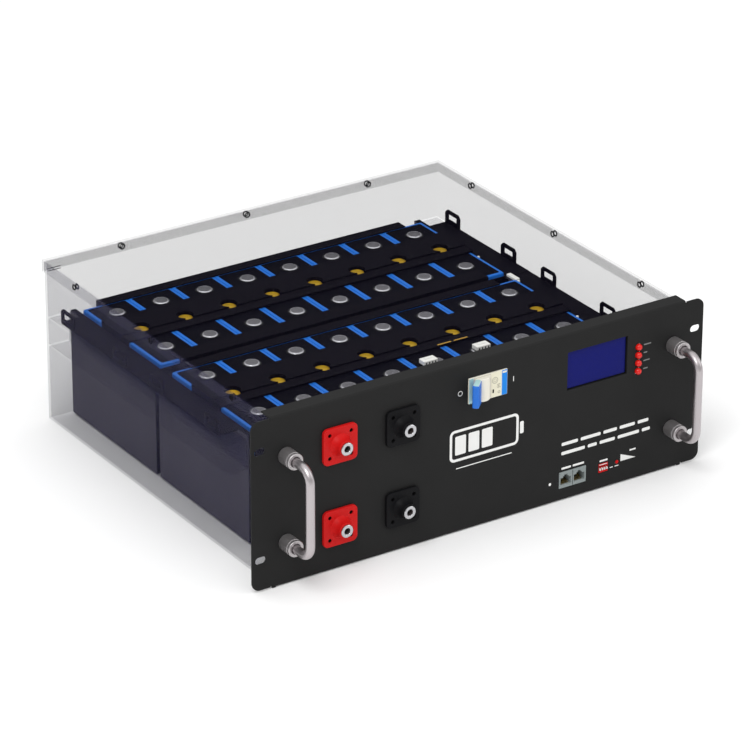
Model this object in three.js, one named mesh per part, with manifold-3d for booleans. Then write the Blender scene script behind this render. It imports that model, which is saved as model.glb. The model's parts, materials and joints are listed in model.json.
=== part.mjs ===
// Rack-mounted lithium battery pack: a clear case round two blocks of eight prismatic cells, behind a
// black 19-inch front panel with handles, power terminals, breaker, display and data sockets.
// Millimetres. X runs along the panel, Y from the panel's front face to the rear, Z up from the base.
// The finished group is moved so that its origin is the centre of the bottom of its bounding box.
import * as THREE from "three";
import { mergeVertices } from "three/addons/utils/BufferGeometryUtils.js";
import Module from "manifold-3d";

const wasm = await Module();
wasm.setup();

// ---------- driving dimensions ----------
const gap = 0.3; // clearance between pieces that rest on each other
const weld = 0.5; // pieces of one solid run this far into each other
const overcut = 1; // a cut starts this far outside the surface that it opens

// cells and blocks: a block is a row of cells along X between two end plates
const cellThickness = 47;
const cellWidth = 142.5;
const cellHeight = 108.7;
const cellsPerBlock = 8;
const blockCount = 2;
const terminalSpread = 88; // between a cell's two terminals, along Y
const terminalRadius = 7.5;
const terminalHeight = 1.7;
const terminalShift = 3.7; // the terminals and the vent sit this far behind the cell's middle
const ventRadius = 7;
const ventHeight = 0.5;
const capRoot = 1; // terminals and vent reach this far into the can

const endPlateThickness = 6;
const endPlateMargin = 12.5; // an end plate is this much wider than a cell
const shelfDrop = 3.2; // end plate's shelf below the cells' tops
const shelfThickness = 2;
const shelfClearance = 2.4; // from the shelf's end to the tray's side wall
const tabLength = 24;
const tabSheet = 1.8;
const tabRise = 13.7; // tab above the shelf
const tabSpacing = 95;
const tabHoleLength = 15;
const tabHoleHeight = 6;
const tabRim = 3.6;
const tabChamfer = 3;

// black insulating strips along X over the cells
const stripSheet = 1.1;
const ventStripFront = 20; // from the vents' line towards the panel
const ventStripRear = 30;
const ventStripStep = 7; // the raised band starts this far in front of the vents' line
const ventStripRaise = 3.5;
const ventStripLow = 2;
const ventWindowMargin = 1; // round the vent
const frontStripClearance = 7; // to the terminals
const rearStripOverlap = 3; // over the cell's rear edge
const rearStripClearance = 1; // to the terminals, at least
const rearStripSkirt = 9.15;
const frontStripSkirt = 2;
const ventStripFlap = 0.8; // its ends fold down over the cells
const stripEndsShort = 20; // front and rear strips stop this far before the ends of the cell row

// case
const traySheet = 1.5;
const coverSheet = 1.5;
const coverFlange = 12;
const headroom = 50.7; // from the cells' tops to the cover
const frontBay = 79; // from the panel's front face to the first block
const blockSeam = 6;
const rearRoom = 2.2;
const sideRoom = 0.5; // between an end plate and the side duct's web
const ductDepth = 21.7;
const ductHeight = 27;
const ductFront = 79.5;
const coverScrewDrop = 5.5; // below the cover's top
const coverScrewRadius = 2.2;
const trayScrewRadius = 1.8;
const sideScrewFirst = 66; // from the panel's front face
const sideScrewPitch = 137.3;
const sideScrewCount = 3;
const backScrewPitch = 137;
const backScrewCount = 3;

// front panel
const panelSheet = 2;
const panelCorner = 8;
const earWidth = 20.3;
const earStep = 1.2; // the ears' edges stand inside the folded edges
const notchWidth = 1.5;
const notchDepth = 2.5;
const lipDepth = 16.5;
const slotLength = 11;
const slotHeight = 7;
const slotSpacing = 104.8;
const slotInset = 8.8; // slot's middle from the panel's end

// handles
const handleInset = 34.3;
const handleSpacing = 84;
const handleLift = 1.3; // handle's middle above the panel's middle
const rodRadius = 4.1;
const rodReach = 40; // panel's front face to the middle of the grip
const rodBend = 13;
const rodEndRoom = 1.3; // between the rod's end and the ferrule's floor
const ferruleRadius = 7.8;
const ferruleLength = 17;
const ferruleFloor = 5;
const ferruleFit = 0.4;
const ferruleRim = 1;
const handleScrewRadius = 2.5;

// power terminals, in columns from the panel's left end
const terminalColumns = [
  ["red", 88.8],
  ["black", 154.3],
];
const upperTerminalDrop = 42.8; // from the panel's top
const lowerTerminalRise = 42.4; // from the panel's bottom
const flangeSize = 35;
const flangeCorner = 5;
const flangeThickness = 3.2;
const flangeHoleSpacing = 22;
const flangeHoleRadius = 1.8;
const bossRootRadius = 10.2;
const bossTipRadius = 7.2;
const bossReach = 13;
const bossChamfer = 0.8;
const bossWaist = 0.6; // the cone pulls in this much halfway up
const bossRise = 0.4; // upright foot of the cone on the flange
const barrelRadius = 9;
const barrelLength = 8; // behind the panel's front face
const insertRadius = 4.4;
const insertCollarRadius = 6;
const insertCollar = 1.2;
const insertBoreRadius = 3;
const insertBoreDepth = 14;
const insertTail = 20;

// circuit breaker
const breakerCentreX = 3.45;
const breakerDrop = 28.5; // middle, from the panel's top
const breakerWindowWidth = 41.5;
const breakerWindowHeight = 25;
const breakerProud = 1.2;
const breakerShoulder = 14; // body widens this far behind the panel's front face
const breakerBodyWidth = 85;
const breakerBodyDepth = 42;
const drumRadius = 9;
const drumOffset = -5.95; // drum's axis from the breaker's middle
const drumDepth = 2.5; // drum's axis behind the panel's front face
const drumHeight = 22;
const leverReach = 23;
const leverThickness = 6;
const leverLean = 45; // degrees, towards the left when off
const pocketFit = 0.4; // round the drum
const breakerBodyMargin = 1; // body above and below the nose

// display and lamps, in places from the panel's right end and top
const displayInset = 117.75;
const displayDrop = 37.25;
const displayWidth = 66;
const displayHeight = 37.5;
const displayOverlap = 2.5; // glass behind the window's edges
const displayGlass = 3;
const boardSheet = 1.6;
const displayBoardMargin = 6;
const displayPartsReach = 6; // behind the glass
const lampInset = 72.6;
const lampDrop = 44.4;
const lampSpace = 1.75; // between two lamps
const lampCount = 4;
const lampRadius = 3.1;
const lampProud = 3.8;
const lampBoardDepth = 6;
const lampBoardWidth = 10;

// data sockets, switches and marks, from the panel's right end and bottom
const socketInset = 142.6;
const socketRise = 20.5;
const socketWidth = 29.6;
const socketHeight = 16;
const socketProud = 0.4;
const socketDepth = 18;
const portCount = 2;
const portWidth = 11.8;
const portHeight = 7;
const portDepth = 13;
const latchSteps = [
  [6.2, 1.6],
  [3.6, 1.4],
];
const dipInset = 108;
const dipRise = 20.6;
const dipWidth = 10.4;
const dipHeight = 9;
const dipLevers = 4;
const dipPitch = 2.54;
const dipLeverWidth = 1.2;
const dipLeverHeight = 2;
const dipLeverProud = 0.8;
const dipTravel = 2;
const dipSlotDepth = 3;
const dipDepth = 6;
const buttonInset = 92.9;
const buttonRise = 22.3;
const buttonRadius = 1.7;
const buttonProud = 0.9;
const buttonTravel = 0.6;
const buttonChamfer = 0.3;
const buttonLip = 1; // holds the button behind the panel
const buttonLipThickness = 1.5;
const tactSize = 6;
const tactHeight = 3.5;
const lightInset = 167.2;
const lightRise = 19.4;
const lightRadius = 1.6;

// boards behind the panel
const interfaceBoardDepth = 19; // panel's front face to the board
const interfaceBoardHeight = 26;
const interfaceBoardLift = 3; // its middle above the sockets' middle
const interfaceBoardLeft = 4; // past the sockets
const interfaceBoardRight = 12; // past the button
const managerDepth = 58;
const managerWidth = 240;
const managerHeight = 84;
const managerCentreX = 60;
const managerRise = 12;
const heatSinkThickness = 9;
const heatSinkBase = 3;
const heatSinkInset = 5; // inside the board's edges
const heatSinkFins = 9;
const finThickness = 2;
const sensePlugs = [
  [4, -8.65],
  [5, 2.05],
]; // cell, and place along X from its middle, over the first block's front terminals
const sensePlugSize = [15, 9, 4];

// number of flats round a turned or swept surface
const facets = { post: 12, vent: 10, turned: 16, large: 24, drum: 32, small: 12 };
const rodSteps = 24;
const domeSteps = 4;
const bezierCircle = 0.5523; // a cubic's handle length for a quarter circle of radius 1
const slotEase = 0.01; // keeps a slot's round ends from meeting in one point

// ---------- sizes worked out from them ----------
const cellPitch = cellThickness + gap;
const rowHalf = (cellsPerBlock * cellPitch) / 2;
const plateInner = rowHalf + gap;
const plateOuter = plateInner + endPlateThickness;
const webInner = plateOuter + sideRoom;
const webOuter = webInner + traySheet;
const trayHalf = webOuter + ductDepth;
const coverHalf = trayHalf + gap + coverSheet;
const panelHalf = coverHalf + earWidth;
const shelfEnd = trayHalf - traySheet - shelfClearance;

const cellBottom = traySheet + gap;
const cellTop = cellBottom + cellHeight;
const shelfTop = cellTop - shelfDrop;
const shelfUnder = shelfTop - shelfThickness;
const ductTop = shelfUnder - gap - traySheet; // the shelves rest over the side ducts
const ductBottom = ductTop - ductHeight;
const coverUnder = cellTop + headroom;
const coverTop = coverUnder + coverSheet;
const panelHeight = coverTop + gap + panelSheet;

const endPlateWidth = cellWidth + endPlateMargin;
const blockPitch = endPlateWidth + blockSeam;
const blockFront = (block) => frontBay + block * blockPitch;
const cellMiddle = (block) => blockFront(block) + gap + cellWidth / 2;
const terminalMiddle = (block) => cellMiddle(block) + terminalShift;
const trayBackInner = frontBay + blockCount * blockPitch - blockSeam + rearRoom;
const trayBack = trayBackInner + traySheet;
const coverBack = trayBack + gap + coverSheet;
const behindPanel = panelSheet + gap;

// strips' edges, from the line of the vents
const terminalEdge = terminalSpread / 2 + terminalRadius;
const cellRear = cellWidth / 2 - terminalShift;
const frontStripInner = terminalEdge + frontStripClearance;
const rearStripInner = Math.max(cellRear - rearStripOverlap, terminalEdge + rearStripClearance);
const rearStripOuter = cellRear + gap + rearStripSkirt;
const ventWindowRadius = ventRadius + ventWindowMargin;
const lampPitch = 2 * lampRadius + lampSpace;

// ---------- materials ----------
const finish = (color, roughness, metalness = 0, opacity = 1) =>
  new THREE.MeshStandardMaterial({ color, roughness, metalness, opacity, transparent: opacity < 1 });
const clearSheet = finish(0x8f8aa8, 0.15, 0, 0.25);
const blackPaint = finish(0x2c2c2c, 0.55, 0.1);
const brushedMetal = finish(0xb4afb2, 0.4, 0.9);
const platedBrass = finish(0xc8c8cc, 0.3, 0.9);
const blackPlastic = finish(0x1c1b22, 0.5);
const redPlastic = finish(0xcd1e1e, 0.4);
const bluePlastic = finish(0x2f72c8, 0.35);
const creamPlastic = finish(0xe6e4d8, 0.45);
const greyPlastic = finish(0x8b9090, 0.5);
const blueWrap = finish(0x1e69be, 0.4);
const displayBlue = finish(0x0f196e, 0.2);
const lampRed = finish(0xd82018, 0.25);
const boardGreen = finish(0x1d5a3a, 0.5);
const whitePlastic = finish(0xf0f0ee, 0.45);

// ---------- solids ----------
// A closed geometry as a solid that can be joined and cut.
function solid(geometry) {
  const bare = geometry.clone();
  bare.deleteAttribute("normal");
  bare.deleteAttribute("uv");
  const merged = mergeVertices(bare, 1e-4);
  const count = merged.getAttribute("position").count;
  const index = merged.index ? merged.index.array : [...Array(count).keys()];
  return new wasm.Manifold(
    new wasm.Mesh({
      numProp: 3,
      vertProperties: new Float32Array(merged.getAttribute("position").array),
      triVerts: new Uint32Array(index),
    }),
  );
}

const join = (...bodies) => bodies.reduce((whole, body) => whole.add(body));
const cut = (body, ...tools) => tools.reduce((whole, tool) => whole.subtract(tool), body);

// A box between two values on each axis.
function box(x0, x1, y0, y1, z0, z1) {
  const geometry = new THREE.BoxGeometry(x1 - x0, y1 - y0, z1 - z0);
  return solid(geometry.translate((x0 + x1) / 2, (y0 + y1) / 2, (z0 + z1) / 2));
}

// A box round a point on the panel, between two depths.
function panelBox(x, z, width, height, y0, y1) {
  return box(x - width / 2, x + width / 2, y0, y1, z - height / 2, z + height / 2);
}

// A turned piece about an axis along Y: the profile lists [radius, y] and is closed or ends on the axis.
function turned(profile, x, z, segments = facets.turned) {
  const points = profile.map(([radius, y]) => new THREE.Vector2(radius, y));
  return solid(new THREE.LatheGeometry(points, segments).translate(x, 0, z));
}

// Round pins along each axis.
const pinAlongY = (radius, y0, y1, x, z, segments = facets.turned) =>
  solid(
    new THREE.CylinderGeometry(radius, radius, y1 - y0, segments).translate(x, (y0 + y1) / 2, z),
  );
const pinAlongZ = (radius, z0, z1, x, y, segments = facets.large) =>
  solid(
    new THREE.CylinderGeometry(radius, radius, z1 - z0, segments)
      .rotateX(Math.PI / 2)
      .translate(x, y, (z0 + z1) / 2),
  );
const pinAlongX = (radius, x0, x1, y, z, segments = facets.small) =>
  solid(
    new THREE.CylinderGeometry(radius, radius, x1 - x0, segments)
      .rotateZ(Math.PI / 2)
      .translate((x0 + x1) / 2, y, z),
  );

// A flat plate whose outline is drawn in X and Z, from y0 to y1.
function plateXZ(shape, y0, y1, curveSegments = 3) {
  const geometry = new THREE.ExtrudeGeometry(shape, {
    depth: y1 - y0,
    bevelEnabled: false,
    curveSegments,
  });
  return solid(geometry.rotateX(Math.PI / 2).translate(0, y1, 0));
}

// A bar whose section is drawn in Y and Z, from x0 to x1.
function barYZ(points, x0, x1) {
  const shape = new THREE.Shape(points.map(([y, z]) => new THREE.Vector2(y, z)));
  const geometry = new THREE.ExtrudeGeometry(shape, { depth: x1 - x0, bevelEnabled: false });
  geometry.rotateX(Math.PI / 2);
  geometry.rotateZ(Math.PI / 2);
  return solid(geometry.translate(x0, 0, 0));
}

// A rectangle with round corners about a point.
function roundedRectangle(path, x, z, width, height, radius) {
  const [left, right] = [x - width / 2, x + width / 2];
  const [low, high] = [z - height / 2, z + height / 2];
  path.moveTo(left + radius, low);
  path.lineTo(right - radius, low);
  path.absarc(right - radius, low + radius, radius, -Math.PI / 2, 0);
  path.lineTo(right, high - radius);
  path.absarc(right - radius, high - radius, radius, 0, Math.PI / 2);
  path.lineTo(left + radius, high);
  path.absarc(left + radius, high - radius, radius, Math.PI / 2, Math.PI);
  path.lineTo(left, low + radius);
  path.absarc(left + radius, low + radius, radius, Math.PI, Math.PI * 1.5);
  path.closePath();
  return path;
}

// A round hole with a point about every two millimetres, and never fewer than twelve.
function roundHole(x, z, radius) {
  const count = Math.max(12, Math.ceil(radius * 1.3) * 2);
  const points = [...Array(count).keys()].map((i) => {
    const angle = (i / count) * Math.PI * 2;
    return new THREE.Vector2(x + radius * Math.cos(angle), z + radius * Math.sin(angle));
  });
  return new THREE.Path(points);
}

const squareHole = (x, z, width, height) =>
  new THREE.Path(fourCorners(x, z, width, height).map(([hx, hz]) => new THREE.Vector2(hx, hz)));
// The corners of a rectangle about a point, in order round it.
function fourCorners(x, z, width, height) {
  const turns = [
    [-1, -1],
    [1, -1],
    [1, 1],
    [-1, 1],
  ];
  return turns.map(([sx, sz]) => [x + (sx * width) / 2, z + (sz * height) / 2]);
}

const flangeHoles = (x, z) => fourCorners(x, z, flangeHoleSpacing, flangeHoleSpacing);

const pack = new THREE.Group();

function addPiece(name, body, material) {
  const made = body.getMesh();
  const geometry = new THREE.BufferGeometry();
  geometry.setAttribute("position", new THREE.BufferAttribute(made.vertProperties, 3));
  geometry.setIndex(new THREE.BufferAttribute(made.triVerts, 1));
  geometry.computeVertexNormals();
  const piece = new THREE.Mesh(geometry, material);
  piece.name = name;
  pack.add(piece);
}

// ---------- places on the panel ----------
const fromLeft = (inset) => -panelHalf + inset;
const fromRight = (inset) => panelHalf - inset;
const fromTop = (drop) => panelHeight - drop;
const sides = [
  ["left", -1],
  ["right", 1],
];
const levels = [
  ["upper", fromTop(upperTerminalDrop)],
  ["lower", lowerTerminalRise],
];
const handleMiddle = panelHeight / 2 + handleLift;
const handleEnds = [
  ["upper", handleMiddle + handleSpacing / 2],
  ["lower", handleMiddle - handleSpacing / 2],
];
const display = [fromRight(displayInset), fromTop(displayDrop)];
const lampX = fromRight(lampInset);
const lampMiddle = fromTop(lampDrop);
const lampHeights = [...Array(lampCount).keys()].map(
  (i) => lampMiddle + ((lampCount - 1) / 2 - i) * lampPitch,
);
const breakerZ = fromTop(breakerDrop);
const socketX = fromRight(socketInset);
const dipX = fromRight(dipInset);
const buttonX = fromRight(buttonInset);
const lightX = fromRight(lightInset);

// ---------- cells, end plates and strips ----------
function addCell(name, x, block) {
  const half = cellThickness / 2;
  const [front, rear] = [blockFront(block) + gap, blockFront(block) + gap + cellWidth];
  const y = terminalMiddle(block);
  const can = box(x - half, x + half, front, rear, cellBottom, cellTop);
  const root = cellTop - capRoot;
  const posts = [-1, 1].map((side) => {
    const postY = y + (side * terminalSpread) / 2;
    return pinAlongZ(terminalRadius, root, cellTop + terminalHeight, x, postY, facets.post);
  });
  const vent = pinAlongZ(ventRadius, root, cellTop + ventHeight, x, y, facets.vent);
  addPiece(name, join(can, ...posts, vent), blueWrap);
}

// The end plate, its shelf over the side duct and two upright tabs with slots; side is -1 or 1.
// The shelf ends at a tab, or half way to the next block's shelf.
function addEndPlate(name, side, block) {
  const [front, rear] = [blockFront(block), blockFront(block) + endPlateWidth];
  const tabsHalf = (tabSpacing + tabLength) / 2;
  const toNext = (blockSeam - gap) / 2;
  const [plateMiddle, lastBlock] = [(front + rear) / 2, blockCount - 1];
  const shelfFront = block > 0 ? front - toNext : plateMiddle - tabsHalf;
  const shelfRear = block < lastBlock ? rear + toNext : plateMiddle + tabsHalf;
  const across = (near, far) => (side > 0 ? [near, far] : [-far, -near]);
  const plate = box(...across(plateInner, plateOuter), front, rear, cellBottom, shelfTop);
  const shelf = box(...across(plateInner, shelfEnd), shelfFront, shelfRear, shelfUnder, shelfTop);
  const tabs = [-1, 1].map((end) => {
    const middle = plateMiddle + (end * tabSpacing) / 2;
    const [tabFront, tabRear] = [middle - tabLength / 2, middle + tabLength / 2];
    const top = shelfTop + tabRise;
    const outline = [
      [tabFront, shelfUnder],
      [tabRear, shelfUnder],
      [tabRear, top - tabChamfer],
      [tabRear - tabChamfer, top],
      [tabFront + tabChamfer, top],
      [tabFront, top - tabChamfer],
    ];
    const [x0, x1] = across(shelfEnd - tabSheet, shelfEnd);
    const [holeFront, holeRear] = [middle - tabHoleLength / 2, middle + tabHoleLength / 2];
    const holeTop = top - tabRim;
    const holeLow = holeTop - tabHoleHeight;
    const hole = box(x0 - overcut, x1 + overcut, holeFront, holeRear, holeLow, holeTop);
    return cut(barYZ(outline, x0, x1), hole);
  });
  addPiece(name, join(plate, shelf, ...tabs), blackPlastic);
}

// The strips over the terminals' two rows and the stepped one over the vents, in one block.
function addStrips(label, block, cellCentres) {
  const low = cellTop + gap;
  const y = terminalMiddle(block);
  const top = low + stripSheet;
  const stripEnd = rowHalf - stripEndsShort;
  const skirtFront = blockFront(block) + 2 * gap + cellWidth;
  const rearEdge = y + rearStripOuter;
  const rear = [
    [y + rearStripInner, low],
    [skirtFront, low],
    [skirtFront, cellBottom],
    [rearEdge, cellBottom],
    [rearEdge, top],
    [y + rearStripInner, top],
  ];
  addPiece("rear_strip_" + label, barYZ(rear, -stripEnd, stripEnd), blackPlastic);
  const frontEdge = blockFront(block) - frontStripSkirt;
  const front = [
    [frontEdge, cellBottom],
    [blockFront(block), cellBottom],
    [blockFront(block), low],
    [y - frontStripInner, low],
    [y - frontStripInner, top],
    [frontEdge, top],
  ];
  const skirt = box(-rowHalf, rowHalf, frontEdge, blockFront(block), cellBottom, shelfTop);
  addPiece("front_strip_" + label, join(barYZ(front, -stripEnd, stripEnd), skirt), blackPlastic);
  const vents = [
    [y - ventStripFront, low],
    [y + ventStripRear, low],
    [y + ventStripRear, low + ventStripRaise],
    [y - ventStripStep, low + ventStripRaise],
    [y - ventStripStep, low + ventStripLow],
    [y - ventStripFront, low + ventStripLow],
  ];
  const [under, over] = [low - overcut, low + ventStripRaise + overcut];
  const windows = cellCentres.map((x) =>
    pinAlongZ(ventWindowRadius, under, over, x, y, facets.turned),
  );
  const flapEnd = plateInner + ventStripFlap;
  const flaps = sides.map(([, side]) => {
    const [x0, x1] = side > 0 ? [plateInner, flapEnd] : [-flapEnd, -plateInner];
    return box(x0, x1, y - ventStripFront, y + ventStripRear, shelfTop + gap, low + weld);
  });
  const cap = cut(barYZ(vents, -flapEnd, flapEnd), ...windows);
  addPiece("vent_strip_" + label, join(cap, ...flaps), blackPlastic);
}

const cellCentres = [...Array(cellsPerBlock).keys()].map(
  (i) => (i - (cellsPerBlock - 1) / 2) * cellPitch,
);
for (let block = 0; block < blockCount; block++) {
  const label = block + 1;
  cellCentres.forEach((x, i) => addCell("cell_" + label + "_" + (i + 1), x, block));
  for (const [sideName, side] of sides) {
    addEndPlate("end_plate_" + label + "_" + sideName, side, block);
  }
  addStrips(label, block, cellCentres);
}

// ---------- case ----------
const coverScrewZ = coverTop - coverScrewDrop;
const sideScrews = [...Array(sideScrewCount).keys()].map(
  (i) => sideScrewFirst + i * sideScrewPitch,
);
const backScrews = [...Array(backScrewCount).keys()].map(
  (i) => (i - (backScrewCount - 1) / 2) * backScrewPitch,
);
const screwHoles = (halfWidth, back, radius, depth) => [
  ...sideScrews.flatMap((y) =>
    sides.map(([, side]) => {
      const [x0, x1] = [side * (halfWidth - depth), side * (halfWidth + overcut)];
      return pinAlongX(radius, Math.min(x0, x1), Math.max(x0, x1), y, coverScrewZ);
    }),
  ),
  ...backScrews.map((x) =>
    pinAlongY(radius, back - depth, back + overcut, x, coverScrewZ, facets.small),
  ),
];

function addTray() {
  const top = coverUnder - gap;
  const inner = trayHalf - traySheet;
  const shell = cut(
    box(-trayHalf, trayHalf, behindPanel, trayBack, 0, top),
    box(-inner, inner, behindPanel - overcut, trayBackInner, traySheet, top + overcut),
  );
  // the panel's lower lip lies under a raised step of the floor
  const lipRoom = lipDepth + gap;
  const [stepHalf, stepBack] = [inner + weld, lipRoom + traySheet];
  const step = box(-stepHalf, stepHalf, behindPanel, stepBack, 0, behindPanel + traySheet);
  const underStep = box(-inner, inner, 0, lipRoom, -overcut, behindPanel);
  const ducts = sides.map(([, side]) => {
    const [near, far] = [webInner, trayHalf - weld];
    const [x0, x1] = side > 0 ? [near, far] : [-far, -near];
    const [low, high] = [ductBottom - traySheet, ductTop + traySheet];
    return box(x0, x1, ductFront, trayBackInner + weld, low, high);
  });
  const bores = sides.map(([, side]) => {
    const [near, far] = [webOuter, trayHalf - traySheet];
    const [x0, x1] = side > 0 ? [near, far] : [-far, -near];
    return box(x0, x1, ductFront - overcut, trayBackInner, ductBottom, ductTop);
  });
  const holes = screwHoles(trayHalf, trayBack, trayScrewRadius, traySheet + overcut);
  addPiece(
    "case_tray",
    cut(join(shell, step, ...ducts), underStep, ...bores, ...holes),
    clearSheet,
  );
}

function addCover() {
  const inner = coverHalf - coverSheet;
  const shell = cut(
    box(-coverHalf, coverHalf, behindPanel, coverBack, coverTop - coverFlange, coverTop),
    box(-inner, inner, 0, coverBack - coverSheet, 0, coverUnder),
  );
  const holes = screwHoles(coverHalf, coverBack, coverScrewRadius, coverSheet + overcut);
  addPiece("top_cover", cut(shell, ...holes), clearSheet);
}

addTray();
addCover();

// ---------- front panel ----------
// Half of the outline is drawn from the middle of the bottom edge round to the middle of the top edge.
function panelOutline() {
  const fold = coverHalf;
  const corner = panelCorner;
  const right = [
    [fold, 0],
    [fold, notchDepth],
    [fold + notchWidth, notchDepth],
    [fold + notchWidth, earStep],
  ];
  const shape = new THREE.Shape();
  shape.moveTo(-fold, 0);
  right.forEach(([x, z]) => shape.lineTo(x, z));
  shape.lineTo(panelHalf - corner, earStep);
  shape.absarc(panelHalf - corner, earStep + corner, corner, -Math.PI / 2, 0);
  const top = panelHeight - earStep;
  shape.absarc(panelHalf - corner, top - corner, corner, 0, Math.PI / 2);
  right.toReversed().forEach(([x, z]) => shape.lineTo(x, panelHeight - z));
  right.forEach(([x, z]) => shape.lineTo(-x, panelHeight - z));
  shape.absarc(corner - panelHalf, top - corner, corner, Math.PI / 2, Math.PI);
  shape.absarc(corner - panelHalf, earStep + corner, corner, Math.PI, Math.PI * 1.5);
  right.toReversed().forEach(([x, z]) => shape.lineTo(-x, z));
  return shape;
}

function panelHoles() {
  const holes = [];
  for (const [, side] of sides) {
    const slotX = side * (panelHalf - slotInset);
    for (const level of [-1, 1]) {
      const z = panelHeight / 2 + (level * slotSpacing) / 2;
      const slot = new THREE.Path();
      const endRadius = slotHeight / 2 - slotEase;
      holes.push(roundedRectangle(slot, slotX, z, slotLength, slotHeight, endRadius));
    }
    for (const [, z] of handleEnds) {
      holes.push(roundHole(side * (panelHalf - handleInset), z, handleScrewRadius));
    }
  }
  for (const [, inset] of terminalColumns) {
    for (const [, z] of levels) {
      holes.push(roundHole(fromLeft(inset), z, barrelRadius + gap));
      for (const [hx, hz] of flangeHoles(fromLeft(inset), z)) {
        holes.push(roundHole(hx, hz, flangeHoleRadius));
      }
    }
  }
  lampHeights.forEach((z) => holes.push(roundHole(lampX, z, lampRadius + gap)));
  holes.push(squareHole(breakerCentreX, breakerZ, breakerWindowWidth, breakerWindowHeight));
  holes.push(squareHole(...display, displayWidth, displayHeight));
  holes.push(squareHole(socketX, socketRise, socketWidth + 2 * gap, socketHeight + 2 * gap));
  holes.push(squareHole(dipX, dipRise, dipWidth + 2 * gap, dipHeight + 2 * gap));
  holes.push(roundHole(buttonX, buttonRise, buttonRadius + gap));
  holes.push(roundHole(lightX, lightRise, lightRadius));
  return holes;
}

function addPanel() {
  const shape = panelOutline();
  shape.holes.push(...panelHoles());
  const face = plateXZ(shape, 0, panelSheet);
  const bottomHalf = trayHalf - traySheet - gap;
  const root = panelSheet / 2; // the lips reach into the sheet so that the fold is one solid
  const lipUnder = panelHeight - panelSheet;
  const topLip = box(-coverHalf, coverHalf, root, lipDepth, lipUnder, panelHeight);
  const bottomLip = box(-bottomHalf, bottomHalf, root, lipDepth, 0, panelSheet);
  addPiece("front_panel", join(face, topLip, bottomLip), blackPaint);
}
addPanel();

// ---------- handles ----------
// The rod's centre line: out of the upper ferrule, round a bend, down the grip and back in.
function handlePath(x) {
  const start = -ferruleFloor - rodEndRoom;
  const [high, low] = handleEnds.map(([, z]) => z);
  const pull = rodBend * (1 - bezierCircle);
  const point = (y, z) => new THREE.Vector3(x, y, z);
  const path = new THREE.CurvePath();
  path.add(new THREE.LineCurve3(point(start, high), point(rodBend - rodReach, high)));
  path.add(
    new THREE.CubicBezierCurve3(
      point(rodBend - rodReach, high),
      point(pull - rodReach, high),
      point(-rodReach, high - pull),
      point(-rodReach, high - rodBend),
    ),
  );
  path.add(new THREE.LineCurve3(point(-rodReach, high - rodBend), point(-rodReach, low + rodBend)));
  path.add(
    new THREE.CubicBezierCurve3(
      point(-rodReach, low + rodBend),
      point(-rodReach, low + pull),
      point(pull - rodReach, low),
      point(rodBend - rodReach, low),
    ),
  );
  path.add(new THREE.LineCurve3(point(rodBend - rodReach, low), point(start, low)));
  return path;
}

function addHandle(sideName, side) {
  const x = side * (panelHalf - handleInset);
  const section = new THREE.Shape().absarc(0, 0, rodRadius, 0, Math.PI * 2);
  const rod = new THREE.ExtrudeGeometry(section, {
    steps: rodSteps,
    curveSegments: 6,
    extrudePath: handlePath(x),
  });
  addPiece("handle_" + sideName, solid(rod), brushedMetal);
  const bore = rodRadius + ferruleFit;
  const front = -gap - ferruleLength;
  for (const [level, z] of handleEnds) {
    const profile = [
      [handleScrewRadius, -gap],
      [handleScrewRadius, -ferruleFloor],
      [bore, -ferruleFloor],
      [bore, front + ferruleRim],
      [bore + ferruleRim, front],
      [ferruleRadius - ferruleRim, front],
      [ferruleRadius, front + ferruleRim],
      [ferruleRadius, -gap],
      [handleScrewRadius, -gap],
    ];
    addPiece("ferrule_" + sideName + "_" + level, turned(profile, x, z), brushedMetal);
  }
}
sides.forEach(([sideName, side]) => addHandle(sideName, side));

// ---------- power terminals ----------
function addTerminal(name, x, z, plastic) {
  const flange = new THREE.Shape();
  roundedRectangle(flange, x, z, flangeSize, flangeSize, flangeCorner);
  flange.holes.push(
    ...flangeHoles(x, z).map(([hx, hz]) => roundHole(hx, hz, flangeHoleRadius)),
  );
  const flangeFront = -gap - flangeThickness;
  const tip = -bossReach;
  const bore = insertRadius + gap;
  const boss = [
    [bore, barrelLength],
    [bore, tip],
    [bossTipRadius - bossChamfer, tip],
    [bossTipRadius, tip + bossChamfer],
    [(bossTipRadius + bossRootRadius) / 2 - bossWaist, (tip + flangeFront) / 2],
    [bossRootRadius, flangeFront + bossRise],
    [bossRootRadius, -gap],
    [barrelRadius, -gap],
    [barrelRadius, barrelLength],
    [bore, barrelLength],
  ];
  const [holeFront, holeBack] = [flangeFront - overcut, -gap + overcut];
  const flangeHole = pinAlongY(bossRootRadius - weld, holeFront, holeBack, x, z, facets.large);
  const block = join(cut(plateXZ(flange, flangeFront, -gap), flangeHole), turned(boss, x, z));
  addPiece("terminal_block_" + name, block, plastic);
  const collarBack = tip - gap;
  const front = collarBack - insertCollar;
  const insert = [
    [0, insertTail],
    [0, front + insertBoreDepth],
    [insertBoreRadius, front + insertBoreDepth],
    [insertBoreRadius, front],
    [insertCollarRadius, front],
    [insertCollarRadius, collarBack],
    [insertRadius, collarBack],
    [insertRadius, insertTail],
    [0, insertTail],
  ];
  addPiece("terminal_insert_" + name, turned(insert, x, z), platedBrass);
}

for (const [colour, inset] of terminalColumns) {
  for (const [level, z] of levels) {
    const plastic = colour === "red" ? redPlastic : blackPlastic;
    addTerminal(colour + "_" + level, fromLeft(inset), z, plastic);
  }
}

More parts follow.
